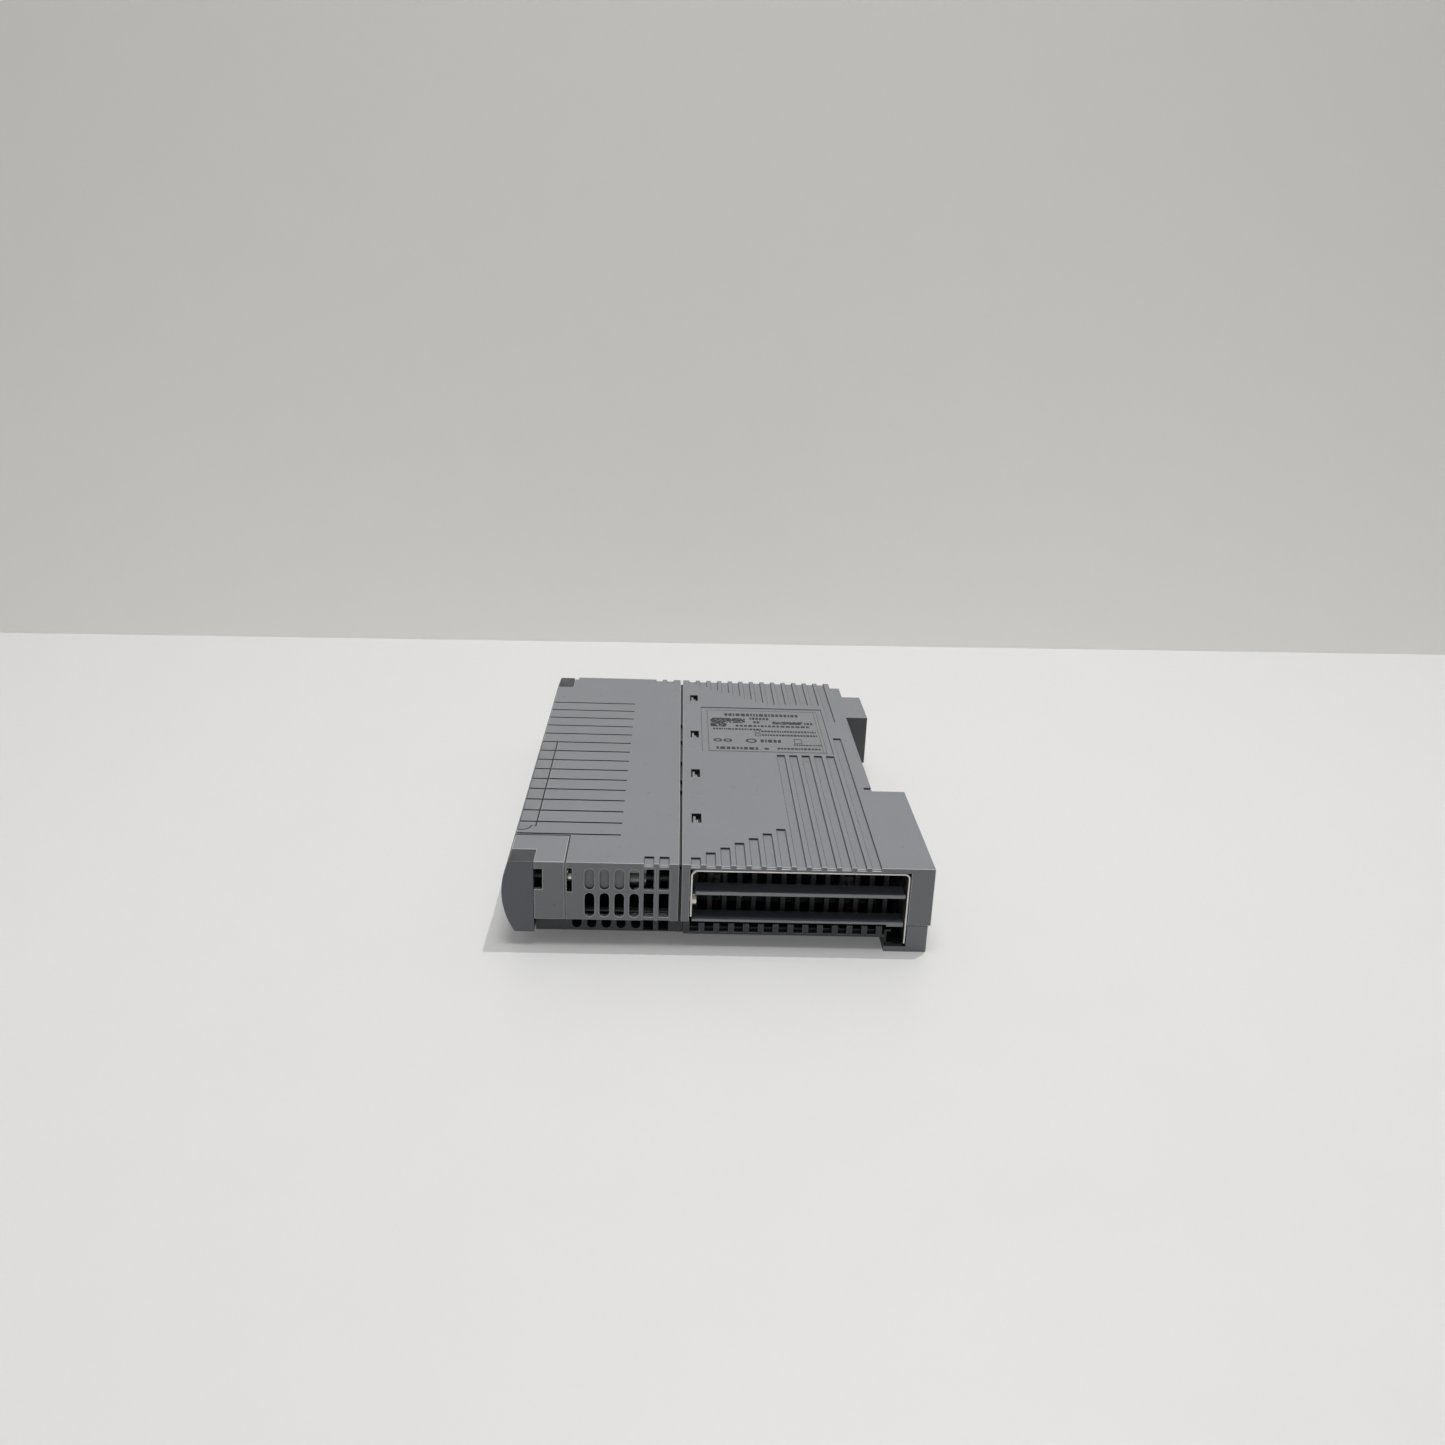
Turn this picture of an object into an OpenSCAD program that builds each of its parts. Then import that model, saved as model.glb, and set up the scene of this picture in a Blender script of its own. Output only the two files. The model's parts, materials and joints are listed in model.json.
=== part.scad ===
// Processor module of a rack-mounted controller, lying on its side.
// X runs from the front cover (-X) to the backplane side (+X), Y along the
// height the module has in its rack, and Z through its thickness.

/* [Case] */
// Height of the module in its rack
case_h = 200; // [190:1:240]
// Depth from the front edge to the rear of the lower block
case_d = 145.8; // [142:0.1:175]
// Thickness of the module
case_t = 32; // [29:0.5:38.4]
// Thickness of the plastic walls
wall_t = 2; // [1.6:0.1:2.4]
// Depth of the front part
front_d = 58.2; // [57:0.1:62]
// Gap between the front and the rear part
seam_gap = 1; // [0.8:0.1:1.2]
// Height of the parting line between the upper and the lower shells
part_z = 10.3; // [9.9:0.1:10.8]
// Height of the lower edge of the case above the resting face
edge_z = 5; // [4:0.1:5.4]
// How far the lower shells stand back from the upper ones
lap_in = 0.9; // [0.6:0.1:1.2]
// How far the crowned front stands out past the front edge
crown_out = 2; // [1:0.1:2.4]
// Radius of the crowned front
crown_r = 28; // [26:1:40]

/* [Rear outline] */
// Length of the lower rear block
block_h = 67.4; // [56:0.1:80.9]
// How far the rear wall stands in from the lower block
body_in = 12.8; // [10.7:0.1:14]
// Length of the upper rear block
hook_h = 28.9; // [24:0.1:34.7]
// Depth of the upper rear block past the rear wall
hook_out = 9.5; // [8:0.1:11.4]
// Distance of the upper rear block from the far end
hook_end = 19.5; // [16:0.1:23]

/* [Flutes and grooves] */
// Distance between neighbouring flutes
flute_pitch = 5.144; // [4.9:0.001:5.2]
// Width of a flute
flute_w = 3.1; // [2.6:0.1:3.7]
// Depth of a flute below the surface
flute_deep = 0.7; // [0.5:0.05:0.9]
// Number of grooves in the side of the front part
groove_count = 15; // [10:1:15]
// Distance between neighbouring grooves
groove_pitch = 10.05; // [9:0.05:10.2]
// Width of a groove
groove_w = 0.7; // [0.5:0.05:0.9]
// Depth of a groove
groove_deep = 0.5; // [0.3:0.05:0.8]

/* [Vents] */
// Width of an oval vent
oval_w = 3.3; // [2.8:0.1:3.9]
// Length of an oval vent of the upper row
oval_top_len = 7.7; // [6.5:0.1:8.4]
// Length of an oval vent of the lower row
oval_low_len = 9; // [7.5:0.1:9.4]
// Width of a square-ended vent
slot_w = 3.4; // [2.9:0.1:3.9]

/* [Front door] */
// Length of the door
door_h = 87; // [80:0.5:88]
// Depth of the door's side flanges behind the front edge
door_d = 6.7; // [6:0.1:6.8]
// Wall of the door
door_t = 1.6; // [1.3:0.1:1.8]
// Gap around the door
door_gap = 0.35; // [0.3:0.05:0.45]
// Radius of the hinge pin
hinge_pin_r = 0.9; // [0.8:0.05:1.05]
// Radial running clearance of pins and screws
run_gap = 0.06; // [0.04:0.01:0.1]

/* [Clamp screws] */
// Radius of a clamp screw's shaft
screw_r = 1.5; // [1.3:0.05:1.6]
// Radius of a clamp screw's head
screw_head_r = 3; // [2.6:0.1:3.2]
// Distance of a clamp screw from the end face
screw_in = 5.2; // [5.1:0.1:5.6]
// Distance of a clamp screw below the side face
screw_down = 7.4; // [7:0.1:7.8]

/* [Air duct] */
// Thickness of the sheet-metal channel
sheet_t = 0.6; // [0.5:0.05:0.8]
// Thickness of the upper louvre
louvre_t = 1.4; // [1.2:0.1:1.6]
// Depth of the louvres behind the end face
louvre_d = 7; // [5.8:0.1:7.4]
// Width of a grille bar
bar_w = 1.7; // [1.4:0.1:2]

/* [Electronics] */
// Thickness of the circuit board
board_t = 1.6; // [1.4:0.1:1.8]
// Radius of a standoff
standoff_r = 2.6; // [2.4:0.1:3]
// Width of a network socket
socket_w = 16; // [14:0.1:18]
// Height of a network socket
socket_t = 13.4; // [12:0.1:14.5]
// Radius of the start button
button_r = 2.5; // [2.2:0.1:3]
// Travel of the start button
button_travel = 1; // [0.8:0.1:1.2]
// Side of the processor chip
chip_side = 27; // [22:0.5:32]
// Radius of a capacitor
cap_r = 4; // [3.4:0.1:4.8]
// Radius of a guide bore in the rear blocks
guide_r = 2.1; // [1.8:0.05:2.5]

/* [Hidden] */
$fn = 64;
eps = 0.01;
fit = 0.3;

// plan, in distances from the front edge and from the near end
mid_x = (case_d - crown_out) / 2;
rear_x = front_d + seam_gap;
body_x = case_d - body_in;
hook_x = body_x + hook_out;
step_x = body_x + 1.2;
corner_x = body_x - 3.2;
step_y = case_h - 6.8;
hook_y1 = case_h - hook_end;
hook_y0 = hook_y1 - hook_h;
cap_x = 8.9;
cap_y = 9.4;
far_cap_x = 7.2;
far_cap_y = 14.5;
cover_x = 19.6;
cover_y = 21.1;
under_z = case_t - wall_t;
floor_z = edge_z + wall_t;
lap_z = part_z - 0.2;

// crown
crown_x = crown_r - crown_out;
crown_z = (edge_z + case_t) / 2 + 1.5;
front_in = 2;

// grooves across the front part
groove_y = 22.4;
groove_end_x = 37.3;

// flutes along the rear part
flute_x = rear_x + 3.1;
flute_count = floor((corner_x - flute_x + 0.4) / flute_pitch);
flute_drop = 1.1;
flute_in = 0.4;
flute_steps = 7;
flute_short = 5.5;
flute_grow = 4.13;
near_long = 103.5;
last_near_len = 124.7;
far_long = 32.5;
last_far_len = 54.3;

// vents in the front part's ends
oval_x = front_d - 30.3;
oval_pitch = 5.07;
vent_x = front_d - 11.9;
vent_pitch = 5.2;
row_z1 = under_z - 0.4;
row_z2 = row_z1 - oval_top_len - 1.4;

// label recess and hook windows
label_x0 = rear_x + 8.3;
label_x1 = body_x - 10.9;
label_y0 = near_long + 2.4;
label_y1 = case_h - 38.5;
label_deep = 0.3;
hook_ys = [38.4, 81.8, 126, case_h - 26.3];
hook_win_x = rear_x + 3.5;

// door and its hinge
door_y0 = groove_y + 3.1;
door_y1 = door_y0 + door_h;
hinge_x = 1.8;
barrel_r = 3.2;
hinge_y = door_y0 + barrel_r;
lug_r = hinge_pin_r + 0.85;
lug_z0 = crown_z - 6;
lug_z1 = crown_z + 5;
// room in front of the barrel for the door to swing past a right angle
swing_gap = 2.4;
swing_cut = 0.6;
panel_x = door_d + 0.5;
panel_t = 1.8;
bezel_x = panel_x + panel_t;
inner_z = under_z - 0.2;

// clamp screws
screw_z = case_t - screw_down;
screw_x0 = 1.6;
screw_head_t = 3;
screw_x1 = rear_x + 3.7;

// duct
duct_x0 = rear_x + 3.1;
duct_x1 = case_d - 8.4;
duct_z = under_z - 0.1;
duct_y0 = 0.3;
duct_left_z = part_z + 1.7;
duct_right_z = 3;
opening_x0 = duct_x0 - fit;
opening_x1 = duct_x1 + fit;
far_open_x1 = corner_x - wall_t;
louvre_y0 = 1;
louvre_z1 = part_z + (duct_z - part_z) * 0.565;
louvre_z2 = part_z + 0.5;
grille_y = louvre_y0 + louvre_d + 1;
grille_t = 2;
pan_r = 2.5;
pan_z = louvre_z1 - louvre_t - pan_r - 0.3;
pan_y = 4.5;

// deep pan of the lower shells
pan_in = 12;
foot_x = body_x - 3;
foot_x1 = case_d - lap_in;
foot_y1 = block_h - lap_in;

// boards and what stands on them
board_z = part_z + 0.9;
top_z = board_z + board_t;
board_in = 14;
neck_in = 24;
standoff_x = [rear_x + 13, body_x - 12];
standoff_y = [30, case_h - 30];
m3_r = 1.45;
plug_len = 60;
plug_y0 = (block_h + hook_y0 - plug_len) / 2;
plug_t = 11.2;
plug_d = 8;
plug_x = body_x - 0.2 - plug_d;
socket_y = [door_y1 + 6, door_y1 + 6 + socket_w + 5];
socket_d = 15;
socket_x = 1;
led_y = socket_y[1] + socket_w + 3.5;
led_count = 6;
led_r = 0.8;
led_pitch = 2.4;
led_z = 23.4 + (case_t - 32);
battery_y0 = door_y1 - 42;
battery_len = 34;
battery_t = 13;
battery_d = 30;
button_y = door_y0 + 18;
switch_y = door_y0 + 30;
control_z = top_z + 5.4;
control_x0 = panel_x + 0.2;
chip_x = rear_x + 26;
chip_y = case_h * 0.6;
chip_t = 2.2;
sink_side = chip_side + 11;
guide_z = part_z + 9;
guide_y = [block_h / 2, hook_y0 + hook_h / 2];

module place() {
    translate([-mid_x, -case_h / 2, 0]) children();
}

// a profile given in (x, z), drawn out along Y
module along_y(y0, y1) {
    translate([0, y1, 0]) rotate([90, 0, 0]) linear_extrude(y1 - y0) children();
}

// a box between two corners
module block(a, b) {
    translate(a) cube(b - a);
}

// a cylinder along X
module rod_x(x0, x1, y, z, r) {
    translate([x0, y, z]) rotate([0, 90, 0]) cylinder(r = r, h = x1 - x0);
}

// the same thing at both ends of the module
module both_ends() {
    children();
    translate([0, case_h, 0]) mirror([0, 1, 0]) children();
}

// outline of the rear part, moved in by i
function rear_outline(i) = [
    [rear_x + i, i], [case_d - i, i], [case_d - i, block_h - i], [body_x - i, block_h - i],
    [body_x - i, hook_y0 + i], [hook_x - i, hook_y0 + i], [hook_x - i, hook_y1 - i],
    [step_x - i, hook_y1 - i], [step_x - i, step_y - i], [corner_x - i, step_y - i],
    [corner_x - i, case_h - i], [rear_x + i, case_h - i]
];

// outline of the deep pan and the foot under the rear part, moved in by i
function pan_outline(i) = [
    [rear_x + 4 + i, pan_in + i], [foot_x + i, pan_in + i], [foot_x + i, i], [foot_x1 - i, i],
    [foot_x1 - i, foot_y1 - i], [foot_x - i, foot_y1 - i], [foot_x - i, case_h - pan_in - i],
    [rear_x + 4 + i, case_h - pan_in - i]
];

module crown(i) {
    intersection() {
        translate([crown_x, crown_z]) circle(r = crown_r - i, $fn = 180);
        translate([-crown_out - 1, 0]) square([crown_out + 1 + door_d + 4, case_t]);
    }
}

// length of flute k from the near end and from the far end
function near_len(k) = k < flute_steps ? flute_short + k * flute_grow
                     : (k == flute_count - 1 ? last_near_len : near_long);
function far_len(k) = k < flute_steps ? min(flute_short + k * flute_grow, far_long)
                    : (k == flute_count - 1 ? last_far_len : far_long);

// one shallow flute sunk into the side face and over its edge
module flute(x, len) {
    block([x, -1, case_t - flute_deep], [x + flute_w, len, case_t + 1]);
    block([x, -1, case_t - flute_drop], [x + flute_w, flute_in, case_t + 1]);
}

module rear_flutes() {
    for (k = [0:flute_count - 1]) {
        flute(flute_x + k * flute_pitch, near_len(k));
        translate([0, case_h, 0]) mirror([0, 1, 0])
            flute(flute_x + k * flute_pitch, far_len(k));
    }
}

// opening in the seam walls, for the board to pass through
module seam_window(x0, x1) {
    block([x0 - 1, neck_in - 2, part_z - 1], [x1 + 1, case_h - neck_in + 2, under_z - 2]);
}

module rear_upper_shell() {
    color("#8b8f92") place() difference() {
        union() {
            difference() {
                translate([0, 0, part_z]) linear_extrude(case_t - part_z)
                    polygon(rear_outline(0));
                translate([0, 0, part_z - 1]) linear_extrude(under_z - part_z + 1)
                    polygon(rear_outline(wall_t));
            }
            block([rear_x + wall_t - eps, wall_t - eps, pan_z - 4],
                  [duct_x0 - fit, pan_y + 3.5, pan_z + 4]);
            for (y = guide_y)
                rod_x((y < case_h / 2 ? case_d : hook_x) - wall_t - 3,
                      (y < case_h / 2 ? case_d : hook_x) - wall_t + eps, y, guide_z, guide_r + 1.6);
        }
        rear_flutes();
        block([opening_x0, -1, part_z - 1], [opening_x1, wall_t + 1, duct_z + fit]);
        block([opening_x0, case_h - wall_t - 1, part_z - 1], [far_open_x1, case_h + 1, duct_z + fit]);
        seam_window(rear_x, rear_x + wall_t);
        both_ends() rod_x(rear_x - 1, rear_x + wall_t + 1, screw_in, screw_z, screw_r + fit);
        rod_x(rear_x + 0.8, rear_x + 6, pan_y, pan_z, 1.3);
        block([body_x - wall_t - 1, plug_y0 - fit, top_z - fit],
              [body_x + 1, plug_y0 + plug_len + fit, top_z + plug_t + fit]);
        for (y = hook_ys)
            block([hook_win_x, y - 3.9, under_z - 1], [hook_win_x + 3.3, y + 3.9, case_t + 1]);
        block([body_x - 2.8, block_h + 1.2, under_z - 1], [body_x + 1, block_h + 3, case_t + 1]);
        block([label_x0, label_y0, case_t - label_deep], [label_x1, label_y1, case_t + eps]);
        for (y = guide_y)
            rod_x((y < case_h / 2 ? case_d : hook_x) - wall_t - 4,
                  (y < case_h / 2 ? case_d : hook_x) + 1, y, guide_z, guide_r);
    }
}

module rating_label() {
    color("#85898c") place()
        block([label_x0 + 2.4, label_y0 + 1.5, case_t - label_deep],
              [label_x1 - 2.1, label_y1 - 3.4, case_t - 0.1]);
}

// comb of upright ribs below the duct opening
module comb() {
    comb_top = louvre_z2 - 1.6;
    block([duct_x0, lap_in, edge_z], [foot_x, lap_in + wall_t, edge_z + 1]);
    for (k = [0:floor((foot_x - duct_x0) / flute_pitch) - 1])
        block([duct_x0 + flute_w + k * flute_pitch, lap_in, edge_z],
              [duct_x0 + flute_pitch + k * flute_pitch, lap_in + wall_t, comb_top]);
}

module rear_lower_shell() {
    color("#6d7276") place() {
        difference() {
            union() {
                linear_extrude(wall_t - 0.1) polygon(pan_outline(0));
                difference() {
                    linear_extrude(floor_z) polygon(pan_outline(0));
                    translate([0, 0, -1]) linear_extrude(floor_z + 2) polygon(pan_outline(wall_t));
                }
                difference() {
                    translate([0, 0, edge_z]) linear_extrude(wall_t) polygon(rear_outline(lap_in));
                    translate([0, 0, edge_z - 1]) linear_extrude(wall_t + 2)
                        polygon(pan_outline(eps));
                }
                difference() {
                    translate([0, 0, edge_z]) linear_extrude(lap_z - edge_z)
                        polygon(rear_outline(lap_in));
                    translate([0, 0, edge_z - 1]) linear_extrude(lap_z)
                        polygon(rear_outline(lap_in + wall_t));
                }
                difference() {
                    linear_extrude(lap_z) polygon([[foot_x, 0], [foot_x1, 0],
                        [foot_x1, foot_y1], [foot_x, foot_y1]]);
                    block([foot_x - 1, -1, -1],
                          [foot_x1 - wall_t, foot_y1 - wall_t, lap_z + 1]);
                }
                block([opening_x1, 0, 0], [foot_x1, wall_t, lap_z]);
            }
            both_ends() block([duct_x0 - eps, -1, edge_z - 1], [foot_x + 1, wall_t + lap_in + eps, 20]);
            block([foot_x - 1, -1, wall_t - 0.1], [opening_x1, 9, 20]);
        }
        both_ends() comb();
    }
}

module shell_hooks() {
    color("#8b8f92") place() for (y = hook_ys) {
        block([hook_win_x + 0.5, y - 3.2, duct_z], [hook_win_x + 1.3, y + 3.2, case_t - 0.7]);
        block([hook_win_x + 0.5, y - 3.2, duct_z], [hook_win_x + 2.2, y, case_t - 0.7]);
    }
}

// an upright vent with round ends, cut along Y
module oval(x, z0, z1, w, y0, y1) {
    along_y(y0, y1) {
        translate([x, z0 + w / 2]) circle(r = w / 2, $fn = 32);
        translate([x, z1 - w / 2]) circle(r = w / 2, $fn = 32);
        translate([x - w / 2, z0 + w / 2]) square([w, z1 - z0 - w]);
    }
}

module front_vents() {
    for (k = [0:3]) {
        oval(oval_x + k * oval_pitch, row_z1 - oval_top_len, row_z1, oval_w, -1,
             k < 3 ? wall_t / 2 : wall_t + 1);
        oval(oval_x + k * oval_pitch, row_z2 - oval_low_len, row_z2, oval_w, -1, wall_t + 1);
    }
    for (k = [0:1]) {
        block([vent_x + k * vent_pitch, -1, row_z2 + 1.4],
              [vent_x + k * vent_pitch + slot_w, wall_t + 1, row_z1]);
        block([vent_x + k * vent_pitch, -1, row_z2 - oval_low_len],
              [vent_x + k * vent_pitch + slot_w, wall_t + 1, row_z2]);
    }
    block([cover_x + 0.6, -1, row_z1 - 8.7], [cover_x + 2.3, wall_t + 1, row_z1]);
}

module grooves(x1) {
    for (k = [0:groove_count - 1])
        block([-crown_out - 1, groove_y + k * groove_pitch - groove_w / 2, case_t - groove_deep],
              [x1, groove_y + k * groove_pitch + groove_w / 2, case_t + 1]);
}

// room that the door's flange needs in the side face
module door_room(gap) {
    block([-5, hinge_y, -1], [door_d + gap, door_y1 + gap, case_t + 1]);
    translate([hinge_x, hinge_y, -1]) cylinder(r = barrel_r + gap, h = case_t + 2);
    block([-5, hinge_y - barrel_r * 0.8, -1], [hinge_x, hinge_y + 1, case_t + 1]);
}

module front_upper_shell() {
    color("#8b8f92") place() difference() {
        block([0.6, 0, part_z], [front_d, case_h, case_t]);
        block([-1, wall_t, part_z - 1], [front_d - wall_t, case_h - wall_t, under_z]);
        for (k = [0:1]) both_ends() flute(vent_x + k * vent_pitch + 0.1, flute_short);
        for (k = [0:1]) both_ends()
            block([vent_x + k * vent_pitch - flute_in, -1, part_z - 1],
                  [vent_x + k * vent_pitch + slot_w + flute_in, flute_in, row_z1 + flute_in]);
        grooves(groove_end_x);
        both_ends() front_vents();
        seam_window(front_d - wall_t, front_d);
        both_ends() rod_x(front_d - wall_t - 1, front_d + 1, screw_in, screw_z, screw_r + fit);
        block([-1, -1, 0], [cover_x + 0.15, cover_y + 0.2, case_t + 1]);
        block([-1, case_h - far_cap_y - 0.2, 0], [far_cap_x + 0.2, case_h + 1, case_t + 1]);
        block([-1, case_h - wall_t - 1, 0], [bezel_x + 0.2, case_h + 1, case_t + 1]);
        door_room(door_gap);
    }
}

module front_lower_shell() {
    x0 = bezel_x + 0.3;
    px0 = x0 + 13;
    low_vent_y = 2 * wall_t + 4;
    px1 = front_d - 4;
    color("#6d7276") place() difference() {
        union() {
            block([x0, wall_t + 0.2, edge_z], [front_d, case_h - wall_t - 0.2, lap_z]);
            block([px0, pan_in, 0], [px1, case_h - pan_in, floor_z]);
        }
        block([x0 + wall_t, 2 * wall_t + 0.2, floor_z],
              [front_d - wall_t, case_h - 2 * wall_t - 0.2, part_z + 1]);
        block([px0 + wall_t, pan_in + wall_t, wall_t],
              [px1 - wall_t, case_h - pan_in - wall_t, part_z]);
        block([front_d - wall_t - 1, neck_in, floor_z], [front_d + 1, case_h - neck_in, part_z]);
        both_ends() {
            for (k = [-1:3])
                oval(oval_x + 0.6 + k * oval_pitch, edge_z + 1, part_z + 5, oval_w, 0, low_vent_y);
            for (k = [0:1])
                block([vent_x + k * vent_pitch, 0, edge_z + 0.5],
                      [vent_x + k * vent_pitch + slot_w, low_vent_y, part_z + 1]);
        }
    }
}

module front_bezel() {
    shell_z = edge_z + 0.2;
    color("#4c5055") place() difference() {
        union() {
            along_y(0, cap_y) intersection() {
                crown(0);
                translate([-5, shell_z]) square([5 + cap_x, case_t - shell_z]);
            }
            along_y(case_h - far_cap_y, case_h - 1) intersection() {
                crown(0);
                translate([-5, shell_z]) square([5 + far_cap_x, case_t - shell_z]);
            }
            along_y(cap_y - eps, hinge_y - barrel_r - swing_gap) front_profile(shell_z);
            along_y(door_y1 + 0.6, case_h - far_cap_y + eps) front_profile(shell_z);
            block([panel_x, cap_y - eps, shell_z], [bezel_x, case_h - far_cap_y + eps, inner_z]);
            block([hinge_x, hinge_y - lug_r + swing_cut, lug_z0],
                  [panel_x + eps, hinge_y + lug_r, lug_z1]);
            translate([hinge_x, hinge_y, lug_z0]) cylinder(r = lug_r, h = lug_z1 - lug_z0);
        }
        both_ends() {
            rod_x(-5, screw_x0 + screw_head_t + 0.2, screw_in, screw_z, screw_head_r + fit);
            rod_x(-5, bezel_x + 1, screw_in, screw_z, screw_r + run_gap);
        }
        translate([hinge_x, hinge_y, 0]) cylinder(r = hinge_pin_r, h = case_t);
        for (y = socket_y)
            block([-5, y - 0.2, top_z - 0.2], [bezel_x + 1, y + socket_w + 0.2, top_z + socket_t + 0.2]);
        block([0.4, socket_y[0] - 2, board_z - 0.3],
              [bezel_x + 1, led_y + led_count * led_pitch + 1.4, top_z + 0.3]);
        block([-5, led_y - 0.2, led_z - 2.2], [1, led_y + led_count * led_pitch + 1.4, led_z + 2.2]);
        block([0, led_y - 0.2, led_z - 1.4],
              [bezel_x + 1, led_y + led_count * led_pitch + 1.4, led_z + 1.4]);
        block([panel_x - 1, battery_y0 - 0.2, control_z - 5.4],
              [bezel_x + 1, battery_y0 + battery_len + 0.2, control_z - 5 + battery_t]);
        rod_x(panel_x - 1, bezel_x + 1, button_y, control_z, button_r + 0.2);
        block([panel_x - 1, switch_y - 0.4, control_z - 1.7],
              [bezel_x + 1, switch_y + 7.4, control_z + 1.7]);
    }
}

// crowned wall between the end caps, with a return under it
module front_profile(z0) {
    difference() {
        intersection() {
            crown(0);
            translate([-5, z0]) square([5 + panel_x + eps, inner_z - z0]);
        }
        translate([front_in, z0 + wall_t]) square([panel_x, inner_z - z0]);
    }
}

module door_profile() {
    difference() {
        intersection() {
            crown(0);
            translate([-5, edge_z + 0.4]) square([5 + door_d, case_t - edge_z - 0.4]);
        }
        intersection() {
            crown(door_t);
            translate([-5, edge_z + 0.4 + wall_t])
                square([5 + door_d + 1, under_z + 0.15 - edge_z - 0.4 - wall_t]);
        }
    }
}

module front_door() {
    color("#8b8f92") place() difference() {
        union() {
            along_y(hinge_y, door_y1) door_profile();
            intersection() {
                translate([hinge_x, hinge_y, edge_z + 0.4])
                    cylinder(r = barrel_r, h = case_t - edge_z - 0.4);
                along_y(door_y0 - 1, hinge_y + barrel_r + 1) crown(0);
            }
            along_y(door_y1 - door_t, door_y1) intersection() {
                crown(0);
                translate([-5, edge_z + 0.4]) square([5 + door_d, case_t - edge_z - 0.4]);
            }
        }
        grooves(door_d + 1);
        translate([hinge_x, hinge_y, lug_z0 - 2])
            cylinder(r = hinge_pin_r + run_gap, h = lug_z1 - lug_z0 + 4);
        difference() {
            block([hinge_x - lug_r - 0.4, hinge_y - barrel_r - 1, lug_z0 - 0.3],
                  [door_d + 1, hinge_y + barrel_r + 2, lug_z1 + 0.3]);
            along_y(hinge_y - 10, hinge_y + 10) difference() {
                crown(0);
                crown(door_t * 0.55);
            }
        }
    }
}

module door_hinge_pin() {
    color("#c3c6c9") place() translate([hinge_x, hinge_y, lug_z0 - 1.8])
        cylinder(r = hinge_pin_r, h = lug_z1 - lug_z0 + 3.6);
}

module end_cover() {
    g = 0.15;
    color("#8b8f92") place() difference() {
        union() {
            block([0.6, cap_y + g, under_z], [cover_x - g, cover_y - g, case_t]);
            block([cap_x + g, 0, under_z - eps], [cover_x - g, cap_y + 1, case_t]);
            block([cap_x + g, 0, part_z], [cover_x - g, wall_t, case_t]);
        }
        block([cap_x, -1, row_z1 - 8.1], [cap_x + 3, wall_t + 1, row_z1 - 0.4]);
    }
}

module air_channel() {
    far_y = case_h - duct_y0;
    web_x1 = corner_x - wall_t - 0.4;
    low_y1 = foot_y1 - wall_t - 0.4;
    color("#b9bcbf") place() difference() {
        union() {
            block([duct_x0, duct_y0, duct_z - sheet_t], [duct_x1, low_y1, duct_z]);
            block([duct_x0, low_y1 - 1, duct_z - sheet_t], [web_x1, far_y, duct_z]);
            block([duct_x0, duct_y0, duct_left_z], [duct_x0 + sheet_t, neck_in - 4, duct_z]);
            block([duct_x0, case_h - neck_in + 4, duct_left_z], [duct_x0 + sheet_t, far_y, duct_z]);
            block([duct_x1 - sheet_t, duct_y0, duct_right_z], [duct_x1, low_y1, duct_z]);
        }
        both_ends() rod_x(duct_x0 - 1, duct_x0 + 3, screw_in, screw_z, screw_r + run_gap);
        rod_x(duct_x0 - 1, duct_x0 + 3, pan_y, pan_z, 1.35);
    }
}

module channel_screw() {
    color("#d8d4c6") place() difference() {
        union() {
            rod_x(rear_x + 1, duct_x0 + sheet_t + 0.1, pan_y, pan_z, 1.25);
            rod_x(duct_x0 + sheet_t, duct_x0 + sheet_t + 1.5, pan_y, pan_z, pan_r);
        }
        block([duct_x0 + sheet_t + 0.9, pan_y - 0.35, pan_z - 1.5],
              [duct_x0 + 5, pan_y + 0.35, pan_z + 1.5]);
        block([duct_x0 + sheet_t + 0.9, pan_y - 1.5, pan_z - 0.35],
              [duct_x0 + 5, pan_y + 1.5, pan_z + 0.35]);
    }
}

module upper_louvre() {
    x1 = duct_x1 - sheet_t - fit;
    color("#5b6268") place()
        block([duct_x0 + sheet_t + fit + 0.8, louvre_y0, louvre_z1 - louvre_t],
              [x1, louvre_y0 + louvre_d, louvre_z1]);
}

module lower_louvre() {
    x1 = duct_x1 - sheet_t - fit;
    color("#5b6268") place() {
        block([duct_x0 + 0.6, louvre_y0, louvre_z2 - 1],
              [x1, louvre_y0 + louvre_d, louvre_z2]);
        block([x1 - 6, louvre_y0, louvre_z2 - 1.7], [x1, louvre_y0 + 3, louvre_z2 - 0.9]);
    }
}

// a grille of upright bars between a top and a bottom rail
module grille(x1, y) {
    x0 = duct_x0 + sheet_t + fit;
    z1 = duct_z - sheet_t - 0.1;
    block([x0, y, floor_z + 0.1], [x1, y + grille_t, floor_z + 1.5]);
    block([x0, y, z1 - 1.2], [x1, y + grille_t, z1]);
    for (k = [0:floor((x1 - x0 - bar_w) / flute_pitch)])
        block([x0 + k * flute_pitch, y, floor_z + 0.1], [x0 + k * flute_pitch + bar_w, y + grille_t, z1]);
}

module near_grille() {
    color("#2c2f33") place() grille(duct_x1 - sheet_t - fit, grille_y);
}

module far_grille() {
    color("#2c2f33") place() grille(corner_x - wall_t - lap_in - 0.5, case_h - wall_t - 3 - grille_t);
}

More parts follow.
